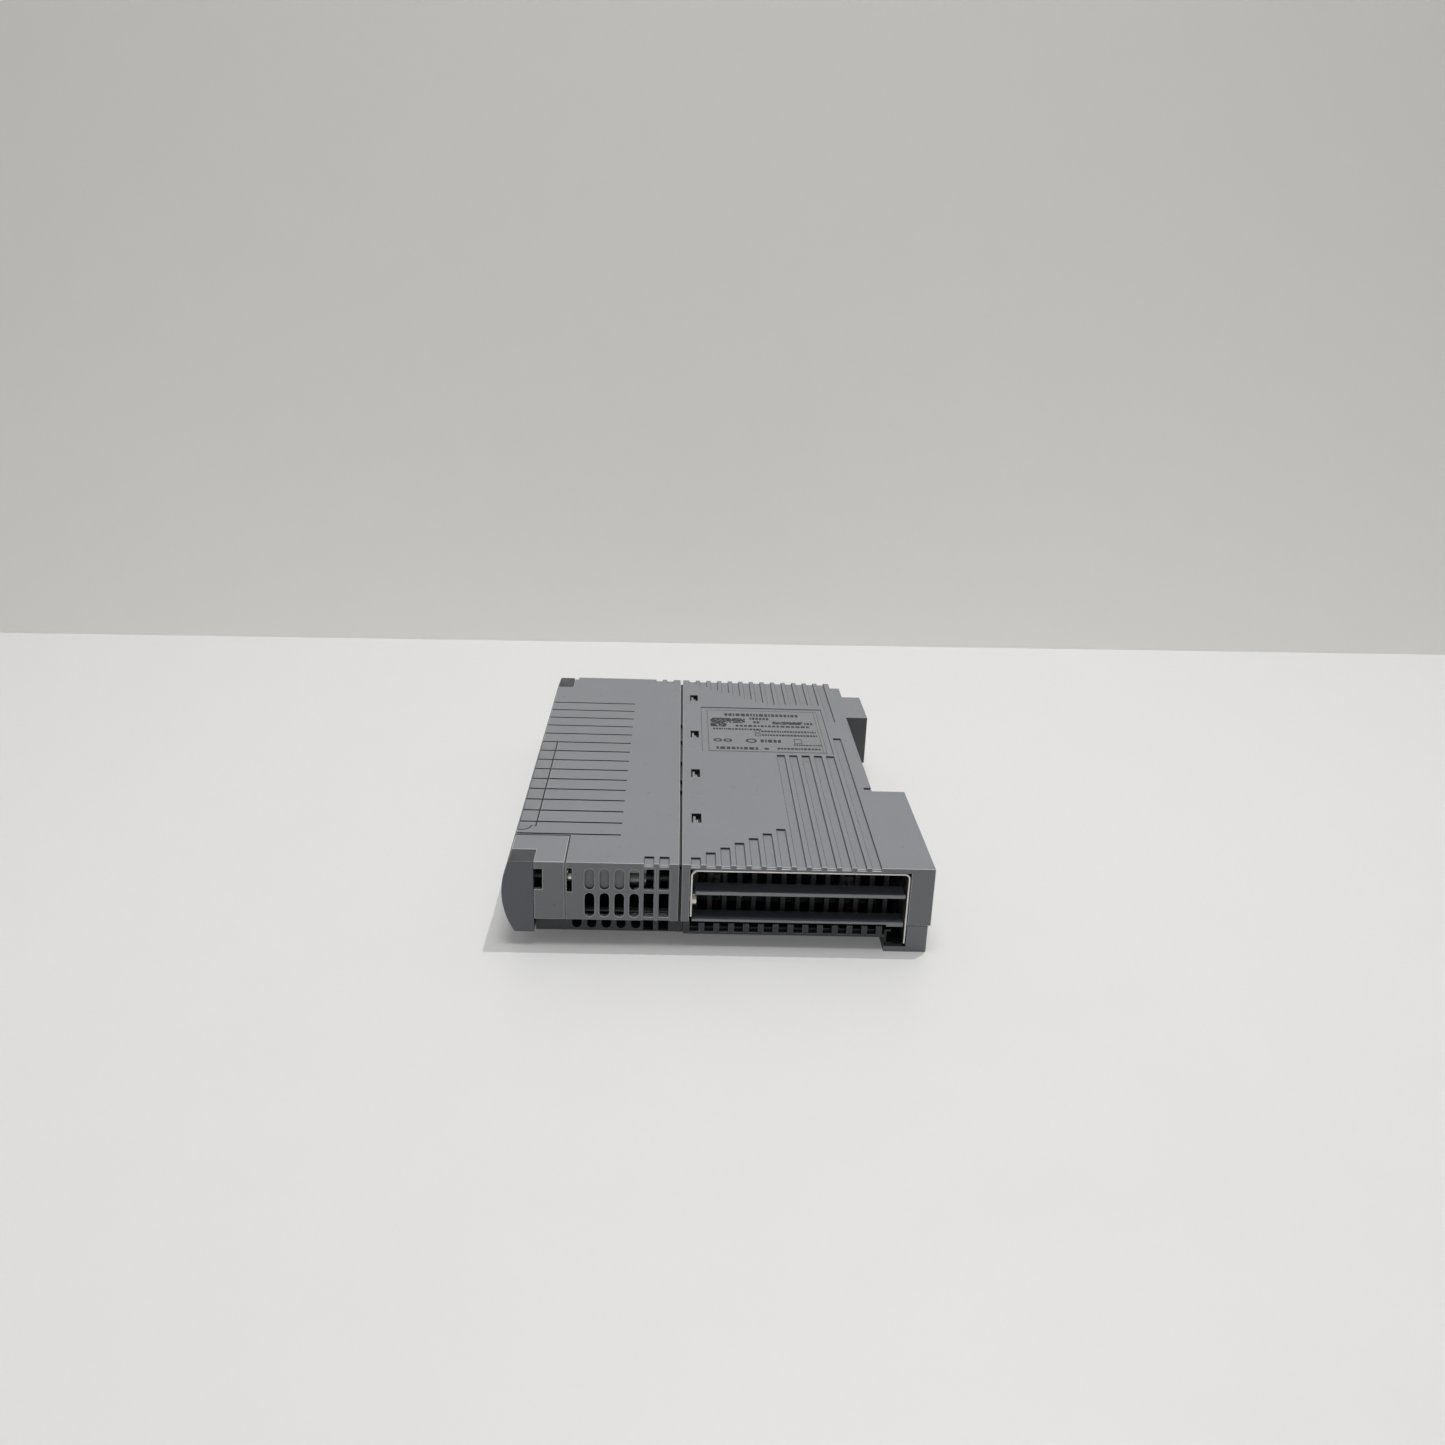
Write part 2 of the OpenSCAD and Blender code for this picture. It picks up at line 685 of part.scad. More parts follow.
module lock_spring() {
    color("#2c2f33") place() {
        block([foot_x + 0.2, 1.5, wall_t - 0.1], [foot_x + 1, 7, 7.8]);
        block([foot_x + 0.2, 1.5, 7], [foot_x + 2.4, 7, 7.8]);
        block([foot_x + 0.2, 1.5, wall_t - 0.1], [foot_x + 3.4, 7, wall_t + 0.6]);
    }
}

module main_board() {
    front_x = bezel_x + 1.2;
    color("#2f5c46") place() difference() {
        union() {
            block([front_x, 2 * wall_t + 0.5, board_z],
                  [front_d - wall_t - 0.4, case_h - 2 * wall_t - 0.5, top_z]);
            block([socket_x + 1.6, socket_y[0] - 1.5, board_z],
                  [front_x + 1, led_y + led_count * led_pitch + 1, top_z]);
            block([front_d - 4, neck_in, board_z], [rear_x + 6, case_h - neck_in, top_z]);
            block([rear_x + 5, board_in, board_z], [body_x - wall_t - 2, case_h - board_in, top_z]);
        }
        for (x = standoff_x, y = standoff_y)
            translate([x, y, board_z - 1]) cylinder(r = m3_r + 0.1, h = board_t + 2);
        block([panel_x - 1, socket_y[0] - 3, board_z - 1],
              [bezel_x + 0.4, socket_y[0] - 1, top_z + 1]);
    }
}

module board_standoffs() {
    color("#c9a24e") place() for (x = standoff_x, y = standoff_y)
        translate([x, y, wall_t - 0.1]) difference() {
            cylinder(r = standoff_r, h = board_z - wall_t + 0.1);
            translate([0, 0, 3]) cylinder(r = m3_r + 0.05, h = board_z);
        }
}

module board_screws() {
    color("#c3c6c9") place() for (x = standoff_x, y = standoff_y)
        translate([x, y, top_z]) difference() {
            union() {
                cylinder(r = 2.7, h = 1.7);
                translate([0, 0, 0.1 - board_t - 4]) cylinder(r = m3_r, h = board_t + 4);
            }
            translate([-1.5, -0.35, 0.9]) cube([3, 0.7, 2]);
            translate([-0.35, -1.5, 0.9]) cube([0.7, 3, 2]);
        }
}

module processor_chip() {
    color("#26282b") place() block([chip_x, chip_y, top_z],
        [chip_x + chip_side, chip_y + chip_side, top_z + chip_t]);
}

module heat_sink() {
    o = (sink_side - chip_side) / 2;
    base_z = top_z + chip_t;
    fin_z = duct_z - sheet_t - 1;
    fins = 9;
    step = (sink_side - 1.2) / (fins - 1);
    color("#b9bcbf") place() {
        block([chip_x - o, chip_y - o, base_z],
              [chip_x - o + sink_side, chip_y - o + sink_side, base_z + 2.4]);
        for (k = [0:fins - 1])
            block([chip_x - o + k * step, chip_y - o, base_z],
                  [chip_x - o + k * step + 1.2, chip_y - o + sink_side, fin_z]);
    }
}

module memory_chips() {
    color("#26282b") place() for (k = [0:3])
        block([chip_x - 4 + k * 10.5, chip_y - 28, top_z],
              [chip_x + 4 + k * 10.5, chip_y - 10, top_z + 1.2]);
}

module capacitors() {
    color("#3a4d7a") place() for (k = [0:3])
        translate([rear_x + 16 + k * (2 * cap_r + 3), 45, top_z]) cylinder(r = cap_r, h = 12);
}

module backplane_connector() {
    color("#d9d4c4") place() difference() {
        block([plug_x, plug_y0, top_z], [plug_x + plug_d, plug_y0 + plug_len, top_z + plug_t]);
        block([plug_x + 2, plug_y0 + 1.6, top_z + 2.8],
              [plug_x + plug_d + 1, plug_y0 + plug_len - 1.6, top_z + plug_t - 2.8]);
    }
}

module backplane_contacts() {
    color("#d2b15a") place() for (k = [0:23])
        block([plug_x + 2, plug_y0 + 4 + k * 2.2, top_z + 2.8],
              [plug_x + plug_d - 1, plug_y0 + 4.8 + k * 2.2, top_z + 3.2]);
}

module network_socket(y) {
    color("#b9bcbf") place() difference() {
        block([socket_x, y, top_z], [socket_x + socket_d, y + socket_w, top_z + socket_t]);
        block([socket_x - 1, y + 2, top_z + 3], [socket_x + socket_d - 3, y + socket_w - 2, top_z + 11]);
        block([socket_x - 1, y + socket_w / 2 - 3, top_z + 1],
              [socket_x + socket_d - 6, y + socket_w / 2 + 3, top_z + 4]);
    }
}

module network_socket_1() { network_socket(socket_y[0]); }

module network_socket_2() { network_socket(socket_y[1]); }

module socket_contacts() {
    color("#d2b15a") place() for (y = socket_y, k = [0:7])
        block([socket_x + 3, y + socket_w / 2 - 4 + k * 1.02, top_z + 10.4],
              [socket_x + socket_d - 3, y + socket_w / 2 - 3.6 + k * 1.02, top_z + 11]);
}

module status_leds() {
    color("#7fc36a") place() for (k = [0:led_count - 1])
        rod_x(0.9, 6, led_y + 1.2 + k * led_pitch, led_z, led_r);
}

module led_window() {
    color("#c7ccd0") place() along_y(led_y, led_y + led_count * led_pitch + 1.2) intersection() {
        crown(0.1);
        translate([-5, led_z - 2]) square([5.7, 4]);
    }
}

module battery_holder() {
    x0 = bezel_x + 0.2;
    color("#33373b") place() difference() {
        block([x0, battery_y0 - 1.6, top_z],
              [x0 + battery_d + 2, battery_y0 + battery_len + 1.6, top_z + battery_t - 1]);
        block([x0 - 1, battery_y0 - 0.1, top_z + 1],
              [x0 + battery_d, battery_y0 + battery_len + 0.1, top_z + battery_t]);
    }
}

module battery_pack() {
    color("#3f6a86") place() block([control_x0, battery_y0 + 0.2, top_z + 1],
        [bezel_x + battery_d, battery_y0 + battery_len - 0.2, top_z + battery_t - 0.6]);
}

module button_switch() {
    color("#26282b") place() difference() {
        block([bezel_x + 0.2, button_y - 4, top_z], [bezel_x + 8, button_y + 4, top_z + 10]);
        rod_x(bezel_x, bezel_x + 4, button_y, control_z, button_r + run_gap);
    }
}

module start_button() {
    color("#c9c4b4") place()
        rod_x(control_x0, bezel_x + 3.8 - button_travel, button_y, control_z, button_r);
}

module slide_switch() {
    color("#26282b") place() difference() {
        block([bezel_x + 0.2, switch_y - 2, top_z], [bezel_x + 6, switch_y + 9, top_z + 10]);
        block([bezel_x - 1, switch_y, control_z - 1.3], [bezel_x + 3, switch_y + 7, control_z + 1.3]);
    }
}

module switch_knob() {
    color("#e4e2d8") place()
        block([control_x0, switch_y + fit, control_z - 1],
              [bezel_x + 2.7, switch_y + fit + 3, control_z + 1]);
}

module clamp_screw() {
    color("#c3c6c9") difference() {
        union() {
            rod_x(screw_x0, screw_x0 + screw_head_t, screw_in, screw_z, screw_head_r);
            rod_x(screw_x0 + 1, screw_x1, screw_in, screw_z, screw_r);
        }
        block([screw_x0 - 1, screw_in - 2, screw_z - 0.4], [screw_x0 + 1.2, screw_in + 2, screw_z + 0.4]);
        block([screw_x0 - 1, screw_in - 0.4, screw_z - 2], [screw_x0 + 1.2, screw_in + 0.4, screw_z + 2]);
    }
}

module clamp_screw_near() { place() clamp_screw(); }

module clamp_screw_far() {
    place() translate([0, case_h, 0]) mirror([0, 1, 0]) clamp_screw();
}

module screw_guides() {
    r = screw_in - wall_t - 0.05;
    x0 = oval_x + 3 * oval_pitch - 4;
    color("#d9d2bd") place() both_ends() difference() {
        union() {
            rod_x(x0, x0 + 8, screw_in, screw_z, r);
            block([x0, screw_in - r + 1, screw_z], [x0 + 8, screw_in + r - 1, under_z]);
        }
        rod_x(x0 - 1, x0 + 9, screw_in, screw_z, screw_r + run_gap);
    }
}

rear_upper_shell();
rear_lower_shell();
front_upper_shell();
front_lower_shell();
front_bezel();
front_door();
door_hinge_pin();
end_cover();
air_channel();
channel_screw();
upper_louvre();
lower_louvre();
near_grille();
far_grille();
shell_hooks();
lock_spring();
rating_label();
main_board();
board_standoffs();
board_screws();
processor_chip();
heat_sink();
memory_chips();
capacitors();
backplane_connector();
backplane_contacts();
network_socket_1();
network_socket_2();
socket_contacts();
status_leds();
led_window();
battery_holder();
battery_pack();
button_switch();
start_button();
slide_switch();
switch_knob();
clamp_screw_near();
clamp_screw_far();
screw_guides();
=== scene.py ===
"""Looks of a control rack's processor module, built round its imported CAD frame."""

import itertools
import json
import logging
import math
import random
from collections.abc import Sequence
from dataclasses import dataclass, field
from enum import Enum

import bmesh
import bpy
from mathutils import Matrix, Vector

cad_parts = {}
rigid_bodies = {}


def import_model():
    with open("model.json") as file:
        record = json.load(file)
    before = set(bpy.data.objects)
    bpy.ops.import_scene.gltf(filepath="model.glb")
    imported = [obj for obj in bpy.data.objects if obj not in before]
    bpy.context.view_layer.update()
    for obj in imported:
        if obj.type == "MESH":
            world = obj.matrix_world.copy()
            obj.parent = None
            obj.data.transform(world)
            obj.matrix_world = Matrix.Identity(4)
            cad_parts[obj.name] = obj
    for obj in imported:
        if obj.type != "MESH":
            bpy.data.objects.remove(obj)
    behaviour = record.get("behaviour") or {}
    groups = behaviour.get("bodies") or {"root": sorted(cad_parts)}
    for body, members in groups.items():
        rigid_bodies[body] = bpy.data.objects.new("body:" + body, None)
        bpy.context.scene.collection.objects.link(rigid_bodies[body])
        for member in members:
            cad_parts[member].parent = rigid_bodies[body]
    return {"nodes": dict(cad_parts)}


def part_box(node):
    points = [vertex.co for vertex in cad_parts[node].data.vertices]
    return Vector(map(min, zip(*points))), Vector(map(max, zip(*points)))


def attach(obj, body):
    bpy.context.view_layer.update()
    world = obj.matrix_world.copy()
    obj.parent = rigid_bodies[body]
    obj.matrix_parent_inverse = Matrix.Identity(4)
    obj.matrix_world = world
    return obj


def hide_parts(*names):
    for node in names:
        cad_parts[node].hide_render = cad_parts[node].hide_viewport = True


for leftover in list(bpy.data.objects):
    bpy.data.objects.remove(leftover)
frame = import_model()

LOG = logging.getLogger("module")
MM = 0.001
# How far the front panel's crown stands before the case's front edge, in millimetres.
CROWN = 2.0
HOUSING = "housing"
Point = tuple[float, float, float]
Colour = tuple[float, float, float]
Span = tuple[float, float]
Sizes = tuple[float, ...]
Socket = bpy.types.NodeSocket


class Axis(Enum):
    """The direction that a rod or a spun shape stands along."""

    X = Matrix.Rotation(math.radians(90), 3, "Y")
    Y = Matrix.Rotation(math.radians(-90), 3, "X")
    Z = Matrix.Identity(3)


class Grain(Enum):
    """How the light breaks up on a finish: the stretch of its fine grain along X, Y and Z."""

    MOULDED = (1.0, 1.0, 1.0)
    ROLLED = (0.06, 1.0, 1.0)
    DRAWN = (1.0, 0.08, 1.0)
    PRESSED = (1.0, 1.0, 0.1)


class NodeTree:
    """The node tree of one material, filled from its texture coordinates to its shader."""

    def __init__(self, material: bpy.types.Material) -> None:
        """Clears the tree and gives it an output, a shader and the object's coordinates.

        Args:
            material: the material whose tree is filled.
        """
        material.use_nodes = True
        self.tree = material.node_tree
        self.tree.nodes.clear()
        self.shader = self.add("ShaderNodeBsdfPrincipled")
        output = self.add("ShaderNodeOutputMaterial")
        self.tree.links.new(self.shader.outputs[0], output.inputs["Surface"])
        self.place = self.add("ShaderNodeTexCoord").outputs["Object"]

    def add(self, kind: str, inputs: dict | None = None, **settings: object) -> bpy.types.Node:
        """Adds a node.

        Args:
            kind: the node's type.
            inputs: socket names or numbers, each with a value or another node's output.
            settings: the node's own properties.

        Returns:
            The new node.
        """
        node = self.tree.nodes.new(kind)
        for key, value in settings.items():
            setattr(node, key, value)
        for key, value in (inputs or {}).items():
            if isinstance(value, Socket):
                self.tree.links.new(value, node.inputs[key])
            else:
                node.inputs[key].default_value = value
        return node

    def noise(self, size: float, detail: float = 3.0, stretch: Point = (1, 1, 1)) -> Socket:
        """Gives a noise whose features are about size metres across.

        Args:
            size: how wide one feature is, in metres.
            detail: how many finer layers lie on it.
            stretch: the scale along each axis; a small one draws the features out.

        Returns:
            The noise's value socket.
        """
        place = self.place
        if tuple(stretch) != (1, 1, 1):
            place = self.add("ShaderNodeMapping", {"Vector": place, "Scale": stretch}).outputs[0]
        node = self.add("ShaderNodeTexNoise", {"Vector": place, "Scale": 1 / size, "Detail": detail})
        return node.outputs["Fac"]

    def spread(self, value: Socket, low: float, high: float,
               to_low: float, to_high: float) -> Socket:
        """Maps a value from one range to another, clamped.

        Args:
            value: the socket to map.
            low: the value that becomes to_low.
            high: the value that becomes to_high.
            to_low: the result at low.
            to_high: the result at high.

        Returns:
            The mapped socket.
        """
        node = self.add("ShaderNodeMapRange", {"Value": value, "From Min": low, "From Max": high,
                                               "To Min": to_low, "To Max": to_high})
        return node.outputs["Result"]

    def times(self, a: Socket, b: Socket) -> Socket:
        """Gives the product of two sockets."""
        return self.add("ShaderNodeMath", {0: a, 1: b}, operation="MULTIPLY").outputs[0]

    def mix(self, share: Socket, a: object, b: object) -> Socket:
        """Blends two colours.

        Args:
            share: how much of b shows, from 0 to 1.
            a: a colour or a colour socket.
            b: a colour or a colour socket.

        Returns:
            The blended colour's socket.
        """
        sides = [(*c, 1.0) if isinstance(c, tuple) else c for c in (a, b)]
        node = self.add("ShaderNodeMix", {0: share, 6: sides[0], 7: sides[1]}, data_type="RGBA")
        return node.outputs[2]


@dataclass(frozen=True)
class Finish:
    """One surface finish, with the grain, mottling and wear that it shows, and any painted shade that
    darkens it upwards.
    """

    colour: Colour
    vary: float = 0.05
    rough: Span = (0.42, 0.56)
    metal: float = 0.0
    grain: Grain = Grain.MOULDED
    grain_size: float = 0.0005
    bump: float = 0.12
    wear: float = 0.25
    worn: Colour = (0.5, 0.51, 0.52)
    flecks: float = 0.0
    gloss: float = 0.5
    coat: float = 0.0
    clear: float = 0.0
    glow: float = 0.0
    shade_upwards: float = 0.0
    shade_upwards_height: float = 0.45
    mottle_size: float = 0.03
    fleck_size: float = 0.0022
    wear_size: float = 0.004

    def shade(self, factor: float) -> Colour:
        """Gives the colour made lighter or darker by a factor."""
        return tuple(min(1.0, c * factor) for c in self.colour)

    def make(self, name: str) -> bpy.types.Material:
        """Builds the material.

        Args:
            name: the material's name.

        Returns:
            The material, with its whole node tree.
        """
        material = bpy.data.materials.new(name)
        book = NodeTree(material)
        mottle = book.noise(self.mottle_size, 4.0)
        grain = book.noise(self.grain_size, 5.0, self.grain.value)
        tone = book.mix(book.spread(mottle, 0.3, 0.7, 0, 1),
                        self.shade(1 - self.vary), self.shade(1 + self.vary))
        tone = book.mix(book.spread(grain, 0.35, 0.65, 0, 0.35), tone, self.shade(1 - 2.2 * self.vary))
        # Painted shade: the colour grows darker towards the top.
        if self.shade_upwards:
            height = book.add("ShaderNodeSeparateXYZ", {0: book.place}).outputs["Z"]
            tone = book.mix(book.spread(height, 0.0, self.shade_upwards_height, 0, 1),
                            tone, self.shade(1 - self.shade_upwards))
        if self.flecks:
            spots = book.spread(book.noise(self.fleck_size, 1.0), 0.74, 0.77, 0, self.flecks)
            tone = book.mix(spots, tone, self.shade(0.35))
        if self.wear:
            edge = book.add("ShaderNodeAttribute", attribute_name="wear").outputs["Fac"]
            patch = book.spread(book.noise(self.wear_size), 0.42, 0.6, 0.15 * self.wear, self.wear)
            tone = book.mix(book.times(edge, patch), tone, self.worn)
        shader = book.shader.inputs
        book.tree.links.new(tone, shader["Base Color"])
        uneven = book.times(grain, book.spread(mottle, 0.3, 0.7, 0.8, 1.2))
        rough = book.spread(uneven, 0.3, 0.7, *self.rough)
        book.tree.links.new(rough, shader["Roughness"])
        bump = book.add("ShaderNodeBump", {"Strength": self.bump, "Distance": 0.4 * self.grain_size,
                                           "Height": grain})
        book.tree.links.new(bump.outputs["Normal"], shader["Normal"])
        shader["Metallic"].default_value = self.metal
        shader["Specular IOR Level"].default_value = self.gloss
        shader["Coat Weight"].default_value = self.coat
        shader["Transmission Weight"].default_value = self.clear
        if self.glow:
            shader["Emission Color"].default_value = (*self.colour, 1.0)
            shader["Emission Strength"].default_value = self.glow
        return material


GREY = (0.189, 0.198, 0.213)
FINISHES: dict[str, Finish] = {
    "case_grey": Finish(GREY, 0.03, flecks=0.35, bump=0.2),
    "case_shadow_grey": Finish((0.035, 0.038, 0.044), 0.05, bump=0.2, worn=(0.2, 0.21, 0.22)),
    "bezel_dark": Finish((0.117, 0.123, 0.141), 0.05, (0.38, 0.5), bump=0.2, worn=(0.2, 0.21, 0.22)),
    "steel": Finish((0.56, 0.56, 0.55), 0.06, (0.22, 0.4), 1.0, Grain.PRESSED, wear=0.2,
        worn=(0.75, 0.75, 0.73)),
    "sheet_metal": Finish((0.74, 0.73, 0.71), 0.08, (0.25, 0.45), 1.0, Grain.ROLLED, 0.0007, wear=0.4,
        worn=(0.9, 0.89, 0.87)),
    "plated_screw": Finish((0.74, 0.7, 0.6), 0.06, (0.18, 0.34), 1.0, wear=0.4, worn=(0.85, 0.82, 0.74)),
    "louvre_plastic": Finish((0.11, 0.122, 0.145), 0.05, (0.36, 0.5), grain=Grain.ROLLED, wear=0.7,
        worn=(0.4, 0.41, 0.42)),
    "grille_black": Finish((0.032, 0.034, 0.038), 0.08, wear=0.1, worn=(0.1, 0.1, 0.11)),
    "label_grey": Finish((0.188, 0.195, 0.205), 0.02, (0.34, 0.44), grain_size=0.0009, bump=0.06,
        wear=0.1),
    "board_green": Finish((0.005, 0.02, 0.013), 0.12, (0.22, 0.36), grain=Grain.DRAWN, bump=0.08,
        wear=0.5, worn=(0.4, 0.36, 0.2), coat=0.3),
    "brass": Finish((0.72, 0.52, 0.22), 0.06, (0.22, 0.36), 1.0, wear=0.3, worn=(0.85, 0.7, 0.4)),
    "chip_black": Finish((0.022, 0.023, 0.025), 0.1, (0.45, 0.6), grain_size=0.0003, wear=0.2,
        worn=(0.1, 0.1, 0.1)),
    "heat_sink_aluminium": Finish((0.6, 0.61, 0.62), 0.06, (0.3, 0.46), 1.0, Grain.DRAWN, wear=0.3,
        worn=(0.8, 0.8, 0.8)),
    "capacitor_sleeve": Finish((0.035, 0.07, 0.2), 0.06, (0.2, 0.32), wear=0.1, coat=0.4),
    "connector_cream": Finish((0.66, 0.61, 0.48), 0.04, (0.36, 0.5), wear=0.1, worn=(0.8, 0.77, 0.68)),
    "contact_gold": Finish((0.83, 0.62, 0.26), 0.05, (0.14, 0.26), 1.0, Grain.ROLLED, wear=0.2,
        worn=(0.9, 0.75, 0.4)),
    "socket_steel": Finish((0.66, 0.66, 0.65), 0.05, (0.2, 0.34), 1.0, Grain.ROLLED, wear=0.3,
        worn=(0.8, 0.8, 0.8)),
    "led_lens": Finish((0.25, 0.5, 0.16), 0.06, (0.12, 0.2), wear=0.0, coat=0.5, glow=0.05),
    "window_clear": Finish((0.6, 0.62, 0.63), 0.02, (0.08, 0.14), wear=0.0, bump=0.03, clear=0.75),
    "battery_wrap": Finish((0.05, 0.16, 0.27), 0.05, (0.2, 0.3), wear=0.1, coat=0.4),
    "button_cream": Finish((0.6, 0.57, 0.47), 0.04, (0.3, 0.42), wear=0.2, worn=(0.8, 0.78, 0.7)),
    # painted_edge_highlight: a pale tone on rounded outer edges, a painted highlight where they catch the
    # light.
    "painted_edge_highlight": Finish((0.5, 0.51, 0.52), 0.06, (0.34, 0.46), bump=0.2),
    "edge_shadow": Finish((0.055, 0.058, 0.065), 0.06, bump=0.2),
    # painted_recess_shade: near-black painted shade on the walls of flutes, grooves, vents and windows and
    # on the rims of creases.
    "painted_recess_shade": Finish((0.012, 0.013, 0.015), 0.1, (0.6, 0.7), wear=0.0),
    # bezel_top: the bezel's upward faces, darker than its near faces: painted light and shade on one
    # plastic.
    "bezel_top": Finish((0.037, 0.039, 0.045), 0.05, (0.4, 0.52), bump=0.2),
    # louvre_edge: the louvres' near faces, lighter than their tops: painted light and shade on one plastic.
    "louvre_edge": Finish((0.26, 0.27, 0.285), 0.05, (0.36, 0.5), grain=Grain.ROLLED),
    # painted_rim_highlight: a pale tone on the vents' rounded rims, a painted highlight.
    "painted_rim_highlight": Finish((0.4, 0.41, 0.42), 0.06, (0.34, 0.46), bump=0.2),
    "shade_grey": Finish((0.085, 0.089, 0.097), 0.05, bump=0.2),
    "black_steel": Finish((0.05, 0.05, 0.05), 0.08, (0.3, 0.42), 1.0, wear=0.0),
    "oxide_steel": Finish((0.2, 0.2, 0.2), 0.08, (0.3, 0.42), 1.0, wear=0.0),
    "nickel": Finish((0.8, 0.79, 0.76), 0.05, (0.2, 0.3), 1.0, wear=0.0),
    "print_ink": Finish((0.010, 0.010, 0.012), 0.12, (0.4, 0.55), wear=0.0, bump=0.05),
    "solder": Finish((0.62, 0.62, 0.6), 0.06, (0.16, 0.3), 1.0, wear=0.0),
}


def round_edges(bm: bmesh.types.BMesh, edges: list, width: float, segments: int = 2) -> list:
    """Bevels edges.

    Args:
        bm: their mesh.
        edges: the edges.
        width: the width of the bevel, in the mesh's own unit.
        segments: how many steps it has.

    Returns:
        The new faces.
    """
    return bmesh.ops.bevel(bm, geom=edges, offset=width, offset_type="OFFSET", segments=segments,
                           profile=0.5, affect="EDGES", clamp_overlap=False, material=-1)["faces"]


def put(name: str, data: bpy.types.ID) -> bpy.types.Object:
    """Puts a mesh, a light or a camera in the scene.

    Args:
        name: the object's name.
        data: what it shows.

    Returns:
        The object.
    """
    thing = bpy.data.objects.new(name, data)
    bpy.context.scene.collection.objects.link(thing)
    return thing


def to_object(bm: bmesh.types.BMesh, name: str, material: bpy.types.Material) -> bpy.types.Object:
    """Makes an object of a mesh, which is freed.

    Args:
        bm: the mesh.
        name: the object's name.
        material: what it wears.

    Returns:
        The object.
    """
    mesh = bpy.data.meshes.new(name)
    bm.to_mesh(mesh)
    bm.free()
    mesh.materials.append(material)
    return put(name, mesh)


@dataclass(frozen=True)
class Datum:
    """The corner that sizes in millimetres are taken from: front edge, near end and underside."""

    corner: Vector

    @classmethod
    def find(cls) -> "Datum":
        """Finds the corner from the frame, behind the front panel's crown."""
        low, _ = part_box("front_bezel")
        return cls(Vector((low.x + CROWN * MM, low.y, 0.0)))

    def box(self, node: str) -> tuple[Vector, Vector]:
        """Gives a node's two corners in millimetres from this datum."""
        low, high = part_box(node)
        return (low - self.corner) / MM, (high - self.corner) / MM

    def matrix(self) -> Matrix:
        """Gives the transform from millimetres at the datum to metres in the frame."""
        return Matrix.Translation(self.corner) @ Matrix.Scale(MM, 4)


class Shape:
    """A mesh in the making, in millimetres from the datum."""

    def __init__(self) -> None:
        """Starts an empty mesh."""
        self.bm = bmesh.new()

    def _soften(self, verts: Sequence, edge: float) -> None:
        """Rounds the sharp edges of the verts' own faces.

        Args:
            verts: the corners of one closed shape.
            edge: the width of the rounding, in mm; none when 0.
        """
        if edge <= 0:
            return
        lines = {e for v in verts for e in v.link_edges if e.calc_face_angle(0) > math.radians(30)}
        round_edges(self.bm, list(lines), edge)

    def box(self, low: Point, high: Point, edge: float = 0.0) -> "Shape":
        """Adds a box.

        Args:
            low: its lowest corner.
            high: its highest corner.
            edge: the rounding of its edges.

        Returns:
            This shape.
        """
        a, b = Vector(low), Vector(high)
        made = bmesh.ops.create_cube(self.bm, size=1.0, matrix=Matrix.Translation((a + b) / 2)
                                     @ Matrix.Diagonal((*(b - a), 1.0)))
        self._soften(made["verts"], edge)
        return self

    def rod(self, foot: Point, length: float, radius: float, axis: Axis = Axis.Z,
            tip: float | None = None, sides: int = 24, edge: float = 0.0) -> "Shape":
        """Adds a rod or a cone.

        Args:
            foot: the middle of its first end.
            length: how long it is.
            radius: its radius at the foot.
            axis: the direction that it stands along.
            tip: its radius at the far end, the same when None.
            sides: how many sides it has.
            edge: the rounding of its rims.

        Returns:
            This shape.
        """
        turn = axis.value.to_4x4()
        middle = Matrix.Translation(Vector(foot)) @ turn @ Matrix.Translation((0, 0, length / 2))
        made = bmesh.ops.create_cone(self.bm, cap_ends=True, cap_tris=False, segments=sides,
                                     radius1=radius, radius2=radius if tip is None else tip,
                                     depth=length, matrix=middle)
        self._soften(made["verts"], edge)
        return self

    def ring(self, middle: Point, profile: Sequence[Span], axis: Axis = Axis.Z,
             sides: int = 32) -> "Shape":
        """Spins a profile round an axis.

        Args:
            middle: the point that the axis goes through.
            profile: radius and height of each corner, from the axis and back to it.
            axis: the direction of the axis.
            sides: how many steps the turn has.

        Returns:
            This shape.
        """
        spun = bmesh.new()
        verts = [spun.verts.new((r, 0.0, h)) for r, h in profile]
        edges = [spun.edges.new(pair) for pair in zip(verts, verts[1:])]
        bmesh.ops.spin(spun, geom=verts + edges, axis=(0, 0, 1), cent=(0, 0, 0), angle=math.tau,
                       steps=sides, use_merge=True, use_duplicate=False)
        bmesh.ops.remove_doubles(spun, verts=spun.verts, dist=1e-4)
        bmesh.ops.recalc_face_normals(spun, faces=spun.faces)
        bmesh.ops.transform(spun, verts=spun.verts,
                            matrix=Matrix.Translation(Vector(middle)) @ axis.value.to_4x4())
        carrier = bpy.data.meshes.new("spun")
        spun.to_mesh(carrier)
        spun.free()
        self.bm.from_mesh(carrier)
        bpy.data.meshes.remove(carrier)
        return self


@dataclass(frozen=True)
class Patch:
    """A region of a moulding, in millimetres from the datum, that wears another finish."""

    low: Point
    high: Point
    finish: str
    facing: Point | None = None
    side_faces: bool = False
    rounded: bool = False

    def holds(self, middle: Vector, normal: Vector, rounded: bool) -> bool:
        """Tells whether a face belongs to the patch.

        Args:
            middle: the face's centre.
            normal: the face's direction.
            rounded: whether it is part of a rounded edge.

        Returns:
            True when its centre is inside and it is of the patch's kind.
        """
        inside = all(a <= m <= b for a, m, b in zip(self.low, middle, self.high))
        if self.rounded:
            return inside and rounded
        if self.side_faces:
            return inside and abs(normal.z) < 0.3
        return inside and (self.facing is None or normal.dot(Vector(self.facing)) > 0.7)


